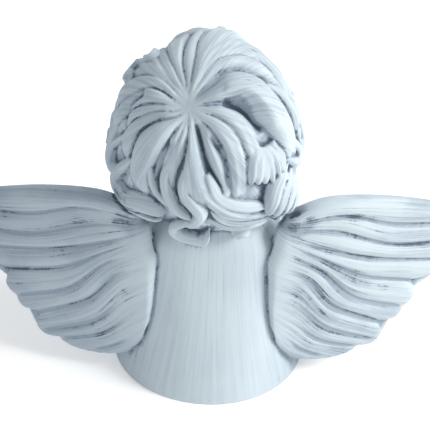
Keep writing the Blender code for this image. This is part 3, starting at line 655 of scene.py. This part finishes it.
def eye_relief(side, z):
    """Lowered lid over a round eyeball, with the crease above it and the lash line below."""
    eyeball = np.clip(1 - ((side - EYE_SIDE) / 11.5) ** 2 - ((z - EYE_RISE) / 8.8) ** 2, 0, None)
    inside = np.exp(-((side - EYE_SIDE) / 9.6) ** 6)
    lash = EYE_RISE - 1.0 - 3.4 * (1 - ((side - EYE_SIDE) / 10.5) ** 2)
    fold = 0.4 - 3.6 * ((side - 19.0) / 11) ** 2
    relief = 5.8 * eyeball - 2.6 * inside * np.exp(-((z - lash) / 1.1) ** 2)
    relief = relief + 1.4 * inside * np.exp(-((z - lash - 2.2) / 1.5) ** 2)
    relief = relief - 1.2 * inside * np.exp(-((z - fold) / 1.2) ** 2)
    return relief + np.exp(-((z - lash + 3.4) / 1.8) ** 2) * np.exp(-((side - 19.0) / 8.5) ** 4)


def nose_relief(x, side, z):
    """Bridge that widens downward, a round tip, two wings and the nostrils under them."""
    down = ramp(-z, -4, 25)
    bridge = np.exp(-(side / (3.4 + 2.2 * down)) ** 2.4) * ramp(z, -34, -27) * (1 - ramp(z, -6, 8))
    relief = (3.0 + 6.5 * down) * bridge + 5.6 * hill(x, z, 0, -24.5, 6.2, 5.4)
    relief = relief + 3.6 * hill(side, z, 7.3, -26.2, 3.7, 3.6) - 2.6 * hill(side, z, 3.7, -30.4, 1.9, 1.4)
    return relief - 0.6 * hill(side, z, 12.0, -25.5, 2.6, 5)


def mouth_relief(x, side, z):
    """Two closed lips either side of a nearly level line, the groove above and the dent below."""
    line = MOUTH_RISE + 1.3 * (side / 12) ** 2 - 0.9 * np.exp(-(side / 3) ** 2)
    reach = np.exp(-(side / 11.8) ** 6)
    upper = 4.2 * np.exp(-((z - line - 2.7) / 2.0) ** 2) * np.exp(-((side - 3.2) / 8.4) ** 2) * reach
    lower = 5.4 * np.exp(-((z - line + 3.4) / 2.5) ** 2) * np.exp(-(side / 7.8) ** 2.2)
    groove = 1.3 * np.exp(-(side / 1.9) ** 2) * ramp(z, -38.5, -35) * (1 - ramp(z, -33, -30))
    relief = 4.2 * hill(x, z, 0, -41, 17, 9) + upper + lower - groove
    relief = relief - 3.4 * reach * np.exp(-((z - line) / 1.0) ** 2)
    return relief - 1.7 * hill(side, z, 13.2, -39.6, 2.2, 2.4) - 1.5 * hill(x, z, 0, -48.6, 8.5, 2.2)


def face_relief(x, z):
    """Forward relief of a calm child's face in mm: brow, sockets, cheeks and chin as round hills."""
    side = np.abs(x)
    relief = 2.2 * hill(x, z, 0, 27, 26, 15) + 1.6 * hill(side, z, 17, 7, 12, 4)
    relief = relief - 5.2 * hill(side, z, 19, -6, 10.5, 8) - 2.0 * hill(side, z, 9.5, -5, 4.2, 6)
    relief = relief + 4.2 * hill(x, z, 0, -54.5, 9.5, 6.5) + 4.8 * hill(side, z, 25, -28, 13, 13)
    return relief + eye_relief(side, z) + nose_relief(x, side, z) + mouth_relief(x, side, z)


def add_head(skin):
    """Ellipsoid 1 / r^2 = x^2/a^2 + y^2/b^2 + z^2/c^2, the face pressed out, the hair's bed behind it."""
    side = np.linspace(0, 360, HEAD_COLUMNS, endpoint=False)
    rise = np.linspace(-89, 89, HEAD_ROWS)
    direction = on_face(side[None], rise[:, None])
    x, y, z = direction[..., 0], direction[..., 1], direction[..., 2]
    wide = SKULL[0] - 5.0 * ramp(-z, 0.35, 0.95)
    deep = np.where(y < 0, SKULL[1], SKULL_BACK)
    radius = MM / np.sqrt((x / wide) ** 2 + (y / deep) ** 2 + (z / SKULL[2]) ** 2)
    angle = np.degrees(np.arctan2(x, -y))
    lift = np.degrees(np.arcsin(np.clip(z, -1, 1)))
    edge = (np.abs(angle) / (56 + 26 * ramp(-lift, 25, 55))) ** 4 + (np.maximum(lift, 0) / 36) ** 4
    hair = ramp(edge, 0.75, 1.35)
    from_whorl = np.degrees(np.arccos(np.clip(direction @ whorl_frame()[0], -1, 1)))
    under_crown = 2.0 - 1.8 * ramp(from_whorl, 72, 80)
    radius = radius * (1 - hair) + (hair_radius(direction) + (carving(direction) - under_crown) * MM) * hair
    points = direction * radius[..., None]
    forward = (1 - hair) * ramp(-y, 0.15, 0.5)
    points[..., 1] -= face_relief(points[..., 0] / MM, points[..., 2] / MM) * MM * forward
    turns = np.broadcast_arrays(np.radians(rise)[:, None], np.radians(side)[None])
    strokes = np.stack(turns, -1) * HEAD_STROKE_RADIUS
    add_tube(skin, place_head(points), strokes, 2 * np.pi * HEAD_STROKE_RADIUS)


def feather_nodes(place):
    """Four points of the feather line at each place across the wing, nicked at the tips by depth n^1.5."""
    edges = np.array(FEATHER_EDGES, float) * (WING_SPAN / DRAWN_WING_SPAN, 1)
    count = len(edges) - 1
    number = np.minimum(place.astype(int), count - 1)
    part = (place - number)[:, None, None]
    straight = edges[number] * (1 - part) + edges[number + 1] * part
    nodes = 0.5 * straight + 0.5 * through(edges, place / count)
    outward = unit(nodes[:, 3] - nodes[:, 2])
    nick = np.zeros_like(place)
    for edge, depth in FEATHER_NICKS.items():
        near = 1 - np.clip(np.abs(place - edge) / 0.48, 0, 1)
        nick = nick + depth * near ** 1.5
    nodes[:, 3] = nodes[:, 3] + outward * (2.4 - nick)[:, None]
    return nodes


def rounded(share, reach):
    """Quarter-round rise from 0 to 1 over the first reach of a share: sqrt(s (2 - s))."""
    near = np.clip(share / reach, 0, 1)
    return np.sqrt(near * (2 - near))


def add_wing(skin, hand):
    """Slab about a swept middle surface, its back raised between two feather edges.

    The rise is h (1 - |2 s - 1|^2.3) / 2 + h sin(pi s)^2 / 2, with a step down at each edge.
    """
    relief = bpy.context.scene.cherub_sizes.feather_relief / MM
    count = len(FEATHER_EDGES) - 1
    samples = (1 - np.cos(np.pi * np.arange(FEATHER_SAMPLES) / FEATHER_SAMPLES)) / 2
    place = np.concatenate([number + samples for number in range(count)] + [[count]])
    along = np.linspace(0, 1, WING_STEPS)
    points = through(np.swapaxes(feather_nodes(place), 0, 1), along)
    x, z = points[..., 0], points[..., 1]
    along = along[:, None]
    part = place - np.minimum(place.astype(int), count - 1)
    plainer = ramp(place, 4, 8)[None]
    across_feather = (0.5 - 0.5 * np.abs(2 * part - 1) ** 2.3 + 0.5 * np.sin(np.pi * part) ** 2)[None]
    ridge = (relief - 1.2 * plainer) * ramp(along - 0.25 * plainer, 0.1, 0.5) * across_feather
    step = 1.3 * (1 - plainer) * ramp(along, 0.12, 0.5) * (0.5 - part)[None]
    barbs = (0.42 + 0.2 * plainer) * np.cos(8 * np.pi * part)[None] * ramp(along, 0.2, 0.6) * across_feather
    thinning = ramp(along, 0, 0.95)
    half = WING_ROOT_HALF_THICKNESS * (1 - thinning) + WING_TIP_HALF_THICKNESS * thinning
    across = place[None] / count
    rim = rounded(1 - along, 0.06) * rounded(along, 0.1) * rounded(across, 0.035) * rounded(1 - across, 0.04)
    rim = 0.3 + 0.7 * rim
    swept = WING_SWEEP * (np.clip(x - SWEEP_ROOT, 0, None) / SWEEP_REACH) ** 1.4
    middle = WING_BEHIND - WING_LEAN * np.clip(z, 0, WING_HEIGHT) / WING_HEIGHT - swept
    back = np.stack([hand * x, middle + (half + ridge + step + barbs) * rim, z], -1) * MM
    front = np.stack([hand * x, middle - (0.8 * half + 0.7 * (ridge + step)) * rim, z], -1) * MM
    strokes = np.stack([WING_STROKE_LENGTH * along + 0 * x, FEATHER_STROKE_WIDTH * place[None] + 0 * x], -1)
    points = np.concatenate([back, front[:, ::-1]], 1)
    strokes = np.concatenate([strokes, strokes[:, ::-1]], 1)
    add_tube(skin, points, strokes)


def settle(item):
    """Put the worked-out mesh in place of an object's mesh and its modifiers."""
    graph = bpy.context.evaluated_depsgraph_get()
    mesh = bpy.data.meshes.new_from_object(item.evaluated_get(graph))
    item.modifiers.clear()
    item.data = mesh


def smoothed(points, edges, rounds):
    """Each point moved to the mean of itself and its neighbours, so many times."""
    degree = np.bincount(edges.ravel(), minlength=len(points))[:, None] + 1.0
    for _ in range(rounds):
        total = points.copy()
        for axis in range(3):
            column = points[:, axis]
            total[:, axis] += np.bincount(edges[:, 0], column[edges[:, 1]], minlength=len(points))
            total[:, axis] += np.bincount(edges[:, 1], column[edges[:, 0]], minlength=len(points))
        points = total / degree
    return points


def store(mesh, name, values):
    """Keep one number per point of a mesh as a named attribute."""
    attribute = mesh.attributes.new(name, "FLOAT", "POINT")
    attribute.data.foreach_set("value", values.astype(np.float32))


def mark_recesses(mesh):
    """Attributes crevice and hollow: mm from this surface out to one smoothed a little or much."""
    count = len(mesh.vertices)
    points = np.empty(count * 3, np.float32)
    mesh.vertices.foreach_get("co", points)
    points = points.reshape(-1, 3).astype(float) / MM
    normals = np.empty(count * 3, np.float32)
    mesh.vertex_normals.foreach_get("vector", normals)
    normals = normals.reshape(-1, 3)
    edges = np.empty(len(mesh.edges) * 2, np.int32)
    mesh.edges.foreach_get("vertices", edges)
    edges = edges.reshape(-1, 2)
    near = smoothed(points, edges, 6)
    wide = smoothed(near, edges, 60)
    store(mesh, "crevice", ((near - points) * normals).sum(axis=1))
    store(mesh, "hollow", ((wide - points) * normals).sum(axis=1))


def flat_underside(item):
    """Cut the casting off level at the ground and close the cut."""
    shape = bmesh.new()
    shape.from_mesh(item.data)
    everything = shape.verts[:] + shape.edges[:] + shape.faces[:]
    cut = bmesh.ops.bisect_plane(
        shape, geom=everything, dist=1e-6, plane_co=(0, 0, 0), plane_no=(0, 0, -1), clear_outer=True)
    rim = [part for part in cut["geom_cut"] if isinstance(part, bmesh.types.BMEdge)]
    bmesh.ops.contextual_create(shape, geom=rim)
    bmesh.ops.triangulate(shape, faces=shape.faces)
    bmesh.ops.recalc_face_normals(shape, faces=shape.faces)
    shape.to_mesh(item.data)
    shape.free()


def nearest_strokes(source):
    """Node group: every point takes the stroke coordinates of the nearest point of the gathered surfaces."""
    group = bpy.data.node_groups.new("nearest_strokes", "GeometryNodeTree")
    group.interface.new_socket("Geometry", in_out="INPUT", socket_type="NodeSocketGeometry")
    group.interface.new_socket("Geometry", in_out="OUTPUT", socket_type="NodeSocketGeometry")
    start = group.nodes.new("NodeGroupInput")
    end = group.nodes.new("NodeGroupOutput")
    surfaces = group.nodes.new("GeometryNodeObjectInfo")
    surfaces.inputs["Object"].default_value = source
    strokes = group.nodes.new("GeometryNodeInputNamedAttribute")
    strokes.data_type = "FLOAT_VECTOR"
    strokes.inputs["Name"].default_value = "strokes"
    sample = group.nodes.new("GeometryNodeSampleNearestSurface")
    sample.data_type = "FLOAT_VECTOR"
    keep = group.nodes.new("GeometryNodeStoreNamedAttribute")
    keep.data_type = "FLOAT_VECTOR"
    keep.inputs["Name"].default_value = "strokes"
    group.links.new(surfaces.outputs["Geometry"], sample.inputs["Mesh"])
    group.links.new(strokes.outputs["Attribute"], sample.inputs["Value"])
    group.links.new(start.outputs["Geometry"], keep.inputs["Geometry"])
    group.links.new(sample.outputs["Value"], keep.inputs["Value"])
    group.links.new(keep.outputs["Geometry"], end.inputs["Geometry"])
    return group


def carry_strokes(item, source):
    """Give the fused skin the stroke coordinates of the gathered surfaces."""
    carry = item.modifiers.new("carry", "NODES")
    carry.node_group = nearest_strokes(source)
    settle(item)


class PaintNodes:
    """Short ways to add and link the nodes of one material."""

    def __init__(self, name):
        self.material = bpy.data.materials.new(name)
        self.material.use_nodes = True
        self.tree = self.material.node_tree
        self.shader = self.tree.nodes["Principled BSDF"]

    def node(self, kind, **settings):
        """A new node with its settings."""
        made = self.tree.nodes.new(kind)
        for name, value in settings.items():
            setattr(made, name, value)
        return made

    def link(self, source, target):
        """Link an output to an input."""
        self.tree.links.new(source, target)

    def attribute(self, name):
        """A point attribute of the mesh as a number."""
        return self.node("ShaderNodeAttribute", attribute_name=name).outputs["Fac"]

    def noise(self, place, stretch, scale, detail=3.0, roughness=0.55):
        """Noise over a place stretched by a factor on each axis."""
        mapping = self.node("ShaderNodeMapping")
        mapping.inputs["Scale"].default_value = stretch
        self.link(place, mapping.inputs["Vector"])
        made = self.node("ShaderNodeTexNoise")
        made.inputs["Scale"].default_value = scale
        made.inputs["Detail"].default_value = detail
        made.inputs["Roughness"].default_value = roughness
        self.link(mapping.outputs["Vector"], made.inputs["Vector"])
        return made.outputs["Fac"]

    def spread(self, value, low, high, start=0.0, end=1.0):
        """Smooth map of a value from low-high to start-end."""
        made = self.node("ShaderNodeMapRange", interpolation_type="SMOOTHSTEP")
        made.inputs["From Min"].default_value = low
        made.inputs["From Max"].default_value = high
        made.inputs["To Min"].default_value = start
        made.inputs["To Max"].default_value = end
        self.link(value, made.inputs["Value"])
        return made.outputs["Result"]

    def maths(self, operation, *values):
        """Values or numbers joined one after another by an operation."""
        joined = values[0]
        for value in values[1:]:
            made = self.node("ShaderNodeMath", operation=operation)
            for socket, part in zip(made.inputs, (joined, value)):
                if isinstance(part, (int, float)):
                    socket.default_value = part
                else:
                    self.link(part, socket)
            joined = made.outputs["Value"]
        return joined

    def times(self, *values):
        """Product of values or numbers."""
        return self.maths("MULTIPLY", *values)

    def plus(self, *values):
        """Sum of values or numbers."""
        return self.maths("ADD", *values)

    def less(self, value, amount):
        """A value less an amount."""
        return self.maths("SUBTRACT", value, amount)

    def weighted(self, *parts):
        """Sum of values, each times its weight."""
        return self.plus(*[self.times(value, weight) for value, weight in parts])

    def distance(self, across, up, centre_across, centre_up):
        """Distance of a place from a centre in two axes."""
        wide = self.maths("POWER", self.less(across, centre_across), 2.0)
        high = self.maths("POWER", self.less(up, centre_up), 2.0)
        return self.maths("SQRT", self.plus(wide, high), 0.0)

    def mix(self, share, first, second):
        """One colour laid over another by a share."""
        made = self.node("ShaderNodeMix", data_type="RGBA")
        self.link(share, made.inputs["Factor"])
        for socket, value in zip((made.inputs[6], made.inputs[7]), (first, second)):
            if isinstance(value, (tuple, list)):
                socket.default_value = (*value[:3], 1.0)
            else:
                self.link(value, socket)
        return made.outputs[2]


def casting_axes(nodes, place):
    """Coordinates X, Y and Z of a place, and beside, its distance from the middle plane."""
    split = nodes.node("ShaderNodeSeparateXYZ")
    nodes.link(place, split.inputs["Vector"])
    axes = {axis: split.outputs[axis] for axis in "XYZ"}
    axes["beside"] = nodes.maths("ABSOLUTE", axes["X"], 0.0)
    return axes


def casting_masks(nodes, axes):
    """Every part named in MASKS and every spot named in DARK_SPOTS_AND_SHADE, as a share from 0 to 1."""
    masks = {}
    for name, ramps in MASKS.items():
        masks[name] = nodes.times(*[nodes.spread(axes[axis], *edges) for axis, *edges in ramps])
    back_axis, *back_edges = ON_THE_BACK
    for name, (axis, across, up, inner, outer) in DARK_SPOTS_AND_SHADE.items():
        away = nodes.distance(axes[axis], axes["Z"], across, up)
        spot = nodes.spread(away, inner, outer, 1.0, 0.0)
        masks[name] = nodes.times(spot, nodes.spread(axes[back_axis], *back_edges))
    return masks


def worn_pale(nodes, masks, brushed, cloud):
    """Pale paint, worn to the wash between the strokes, more on the carved parts and the feathers."""
    colours = bpy.context.scene.cherub_paint
    mottled = nodes.weighted((brushed, 7.0), (nodes.less(cloud, 0.5), 3.0))
    carved = nodes.maths("MAXIMUM", masks["wings"], masks["head"])
    worn = nodes.plus(nodes.weighted((carved, 0.34), (masks["feathers"], 0.16)), 0.20)
    share = nodes.times(nodes.spread(mottled, *WEAR_STARTS_COVERS), worn)
    return nodes.mix(share, tuple(colours.pale), tuple(colours.wash))


def washed_and_shaded(nodes, masks, colour, depth, hollow, brushed):
    """A colour darkened with the wash: painted shade over the statue's left side, the foot's flanks a little
    darker, then the troughs, the broad ones partly painted shade.
    """
    wash = tuple(bpy.context.scene.cherub_paint.wash)
    # painted shade over the statue's left side and its left wing's tip
    colour = nodes.mix(nodes.weighted((masks["left side"], 0.42), (masks["left tip"], 0.22)), colour, wash)
    # the foot's flanks a little darker in the wash colour
    colour = nodes.mix(nodes.times(masks["foot flanks"], 0.25), colour, wash)
    # wide troughs of feathers and curls take more wash; in the broad troughs this is partly painted shade
    wide = nodes.times(hollow, nodes.plus(nodes.times(masks["feathers"], 2.2), masks["curls"]))
    troughs = nodes.plus(depth, wide, nodes.times(brushed, 4.0))
    return nodes.mix(nodes.times(nodes.spread(troughs, *WASH_STARTS_COVERS), 0.8), colour, wash)


def darkened(nodes, masks, colour, depth, brushed, patch, grain):
    """A colour with the dark ground in the recesses, broken up by patches, grain and strokes; the depth it
    follows also holds painted shade of the broad troughs and the wing roots.
    """
    ground = tuple(bpy.context.scene.cherub_paint.ground)
    eased = nodes.weighted((masks["feathers"], 0.1), (masks["wing joints"], 0.35))
    pooled = nodes.times(depth, nodes.less(1.0, eased))
    broken = nodes.weighted((nodes.less(patch, 0.5), 7.0), (nodes.less(grain, 0.5), 2.4))
    streaked = nodes.times(brushed, nodes.plus(nodes.times(masks["feathers"], 9.0), 5.0))
    dark = nodes.spread(nodes.plus(pooled, broken, streaked), *GROUND_STARTS_COVERS)
    return nodes.mix(nodes.times(dark, 0.85), colour, ground)


def matt_finish(nodes, streak, grain):
    """Matt surface, rougher between the strokes, with the strokes and the grain as a low relief."""
    middle = bpy.context.scene.cherub_paint.roughness
    roughness = nodes.spread(streak, 0.3, 0.7, middle - 0.08, middle + 0.1)
    nodes.link(roughness, nodes.shader.inputs["Roughness"])
    bump = nodes.node("ShaderNodeBump")
    bump.inputs["Strength"].default_value = 0.35
    bump.inputs["Distance"].default_value = 0.0006
    nodes.link(nodes.plus(streak, nodes.times(grain, 0.35)), bump.inputs["Height"])
    nodes.link(bump.outputs["Normal"], nodes.shader.inputs["Normal"])
    nodes.shader.inputs["Specular IOR Level"].default_value = 0.35


def antiqued_paint():
    """Pale paint dry-brushed along the forms over a dark ground that stays in creases, pits and gaps, with
    painted shade on the left side, in the broad troughs and at the wing roots.
    """
    nodes = PaintNodes("antiqued_casting")
    strokes = nodes.node("ShaderNodeAttribute", attribute_name="strokes").outputs["Vector"]
    place = nodes.node("ShaderNodeTexCoord").outputs["Object"]
    masks = casting_masks(nodes, casting_axes(nodes, place))
    crevice = nodes.attribute("crevice")
    hollow = nodes.attribute("hollow")
    fine = nodes.noise(strokes, FINE_STROKES, 1.0)
    broad = nodes.noise(strokes, BROAD_STROKES, 1.0)
    cloud = nodes.noise(place, EVENLY, 24.0, 4.0)
    patch = nodes.noise(place, EVENLY, 70.0, 4.0, 0.65)
    grain = nodes.noise(place, EVENLY, 520.0)
    streak = nodes.weighted((fine, 0.5), (broad, 0.5))
    brushed = nodes.times(nodes.less(streak, 0.5), masks["off the face"])
    in_curls = nodes.times(hollow, masks["curls"])
    # the fine crevice keeps the real dark ground; the hollow terms also darken the broad troughs as painted
    # shade
    recess = nodes.weighted((crevice, 3.0), (hollow, 1.1), (in_curls, 0.4))
    # a darker patch on the right wing and at the low middle of the hair, and painted shade where wings, hair
    # and trunk meet
    dark_spots_and_shade = nodes.weighted((masks["right wing"], 1.5), (masks["nape"], 0.7), (masks["wing roots"], 2.2))
    depth = nodes.plus(recess, dark_spots_and_shade)
    colour = worn_pale(nodes, masks, brushed, cloud)
    colour = washed_and_shaded(nodes, masks, colour, depth, hollow, brushed)
    colour = darkened(nodes, masks, colour, depth, brushed, patch, grain)
    nodes.link(colour, nodes.shader.inputs["Base Color"])
    matt_finish(nodes, streak, grain)
    return nodes.material


class CHERUB_OT_casting(bpy.types.Operator):
    """Build the casting: trunk, head, hair and wings fused into one skin and painted"""

    bl_idname = "cherub.casting"
    bl_label = "Cherub casting"

    def execute(self, context):
        sizes = context.scene.cherub_sizes
        skin = Skin()
        add_trunk(skin)
        add_head(skin)
        add_crown(skin)
        add_loose_locks(skin)
        add_fanned_locks(skin)
        add_fringe(skin)
        add_side_curls(skin)
        add_nape_curls(skin)
        add_wing(skin, 1)
        add_wing(skin, -1)
        source = bpy.data.objects.new("cherub_surfaces", skin.mesh("cherub_surfaces"))
        context.scene.collection.objects.link(source)
        statue = bpy.data.objects.new("angel_statue_casting", source.data.copy())
        context.scene.collection.objects.link(statue)
        fuse = statue.modifiers.new("fuse", "REMESH")
        fuse.mode = "VOXEL"
        fuse.voxel_size = sizes.skin_cell
        settle(statue)
        mark_recesses(statue.data)
        thin = statue.modifiers.new("thin", "DECIMATE")
        thin.ratio = min(1.0, sizes.triangles / (2 * len(statue.data.polygons)))
        settle(statue)
        flat_underside(statue)
        carry_strokes(statue, source)
        bpy.data.objects.remove(source)
        statue.data.shade_smooth()
        statue.data.materials.clear()
        statue.data.materials.append(antiqued_paint())
        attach(statue, "root")
        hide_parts(SOLID)
        return {"FINISHED"}


def floor_paint():
    """Matt pale floor with a faint unevenness of tone."""
    base = tuple(bpy.context.scene.cherub_stage.floor_colour)
    nodes = PaintNodes("pale_floor")
    place = nodes.node("ShaderNodeTexCoord").outputs["Object"]
    cloud = nodes.noise(place, EVENLY, 3.0, 2.0)
    colour = nodes.mix(cloud, base, tuple(0.98 * part for part in base))
    nodes.link(colour, nodes.shader.inputs["Base Color"])
    nodes.shader.inputs["Roughness"].default_value = 0.9
    nodes.shader.inputs["Emission Color"].default_value = (1.0, 1.0, 1.0, 1.0)
    nodes.shader.inputs["Emission Strength"].default_value = 0.18
    return nodes.material


def add_floor():
    """Level square grid under the casting."""
    side = np.linspace(-FLOOR_HALF, FLOOR_HALF, FLOOR_POINTS)
    x, y = np.meshgrid(side, side)
    points = np.stack([x, y, 0 * x - FLOOR_GAP], -1)
    cell = np.arange(FLOOR_POINTS - 1)
    near = cell[:, None] * FLOOR_POINTS + cell[None]
    far = near + FLOOR_POINTS
    faces = np.stack([near, near + 1, far + 1, far], -1).reshape(-1, 4)
    mesh = bpy.data.meshes.new("pale_floor")
    mesh.from_pydata(points.reshape(-1, 3), [], faces)
    mesh.materials.append(floor_paint())
    floor = bpy.data.objects.new("pale_floor", mesh)
    bpy.context.scene.collection.objects.link(floor)
    return floor


def add_light(name, place, side, power, colour):
    """Square area light at a place, facing the aim point."""
    light = bpy.data.lights.new(name, "AREA")
    light.shape = "SQUARE"
    light.size = side
    light.energy = power
    light.color = colour
    lamp = bpy.data.objects.new(name, light)
    lamp.location = place
    lamp.rotation_euler = (Vector(LIGHT_AIM) - Vector(place)).to_track_quat("-Z", "Y").to_euler()
    bpy.context.scene.collection.objects.link(lamp)


def add_camera(stage):
    """Camera on a sphere round the aim point, rolled about its own axis, with a small shift of the lens."""
    side = math.sin(stage.azimuth) * math.cos(stage.elevation)
    back = -math.cos(stage.azimuth) * math.cos(stage.elevation)
    away = Vector((side, back, math.sin(stage.elevation)))
    aim = Vector((0, 0, stage.aim_height))
    lens = bpy.data.cameras.new("photograph_view")
    lens.sensor_width = SENSOR_WIDTH
    lens.lens = SENSOR_WIDTH * stage.focal_pixels / FRAME_PIXELS
    lens.shift_x = VIEW_SHIFT[0] / FRAME_PIXELS
    lens.shift_y = VIEW_SHIFT[1] / FRAME_PIXELS
    camera = bpy.data.objects.new("photograph_view", lens)
    turn = (-away).to_track_quat("-Z", "Y").to_matrix() @ Matrix.Rotation(stage.roll, 3, "Z")
    camera.matrix_world = Matrix.Translation(aim + away * stage.distance) @ turn.to_4x4()
    bpy.context.scene.collection.objects.link(camera)
    bpy.context.scene.camera = camera


class CHERUB_OT_stage(bpy.types.Operator):
    """Lay the pale floor and set the soft lights and the camera"""

    bl_idname = "cherub.stage"
    bl_label = "Floor, lights and camera"

    def execute(self, context):
        stage = context.scene.cherub_stage
        add_floor()
        for name, settings in LIGHTS.items():
            add_light(name, *settings)
        world = bpy.data.worlds.new("soft_room")
        world.use_nodes = True
        background = world.node_tree.nodes["Background"]
        background.inputs["Color"].default_value = ROOM_COLOUR
        background.inputs["Strength"].default_value = ROOM_STRENGTH
        context.scene.world = world
        context.scene.view_settings.view_transform = "Standard"
        add_camera(stage)
        return {"FINISHED"}


class CHERUB_PT_panel(bpy.types.Panel):
    """Sizes, colours and the two builders"""

    bl_idname = "CHERUB_PT_panel"
    bl_label = "Grave cherub"
    bl_space_type = "VIEW_3D"
    bl_region_type = "UI"
    bl_category = "Cherub"

    def draw(self, context):
        layout = self.layout
        for group in (context.scene.cherub_sizes, context.scene.cherub_paint, context.scene.cherub_stage):
            box = layout.box()
            for name in group.__annotations__:
                box.prop(group, name)
        layout.operator(CHERUB_OT_casting.bl_idname)
        layout.operator(CHERUB_OT_stage.bl_idname)


CLASSES = (CherubSizes, CherubPaint, CherubStage, CHERUB_OT_casting, CHERUB_OT_stage, CHERUB_PT_panel)


def register():
    """Register the classes and hang the settings on the scene."""
    for kind in CLASSES:
        bpy.utils.register_class(kind)
    bpy.types.Scene.cherub_sizes = bpy.props.PointerProperty(type=CherubSizes)
    bpy.types.Scene.cherub_paint = bpy.props.PointerProperty(type=CherubPaint)
    bpy.types.Scene.cherub_stage = bpy.props.PointerProperty(type=CherubStage)


def unregister():
    """Take the settings off the scene and unregister the classes."""
    del bpy.types.Scene.cherub_stage
    del bpy.types.Scene.cherub_paint
    del bpy.types.Scene.cherub_sizes
    for kind in reversed(CLASSES):
        bpy.utils.unregister_class(kind)


def main():
    """Register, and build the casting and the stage."""
    register()
    bpy.ops.cherub.casting()
    bpy.ops.cherub.stage()


if __name__ == "__main__":
    main()
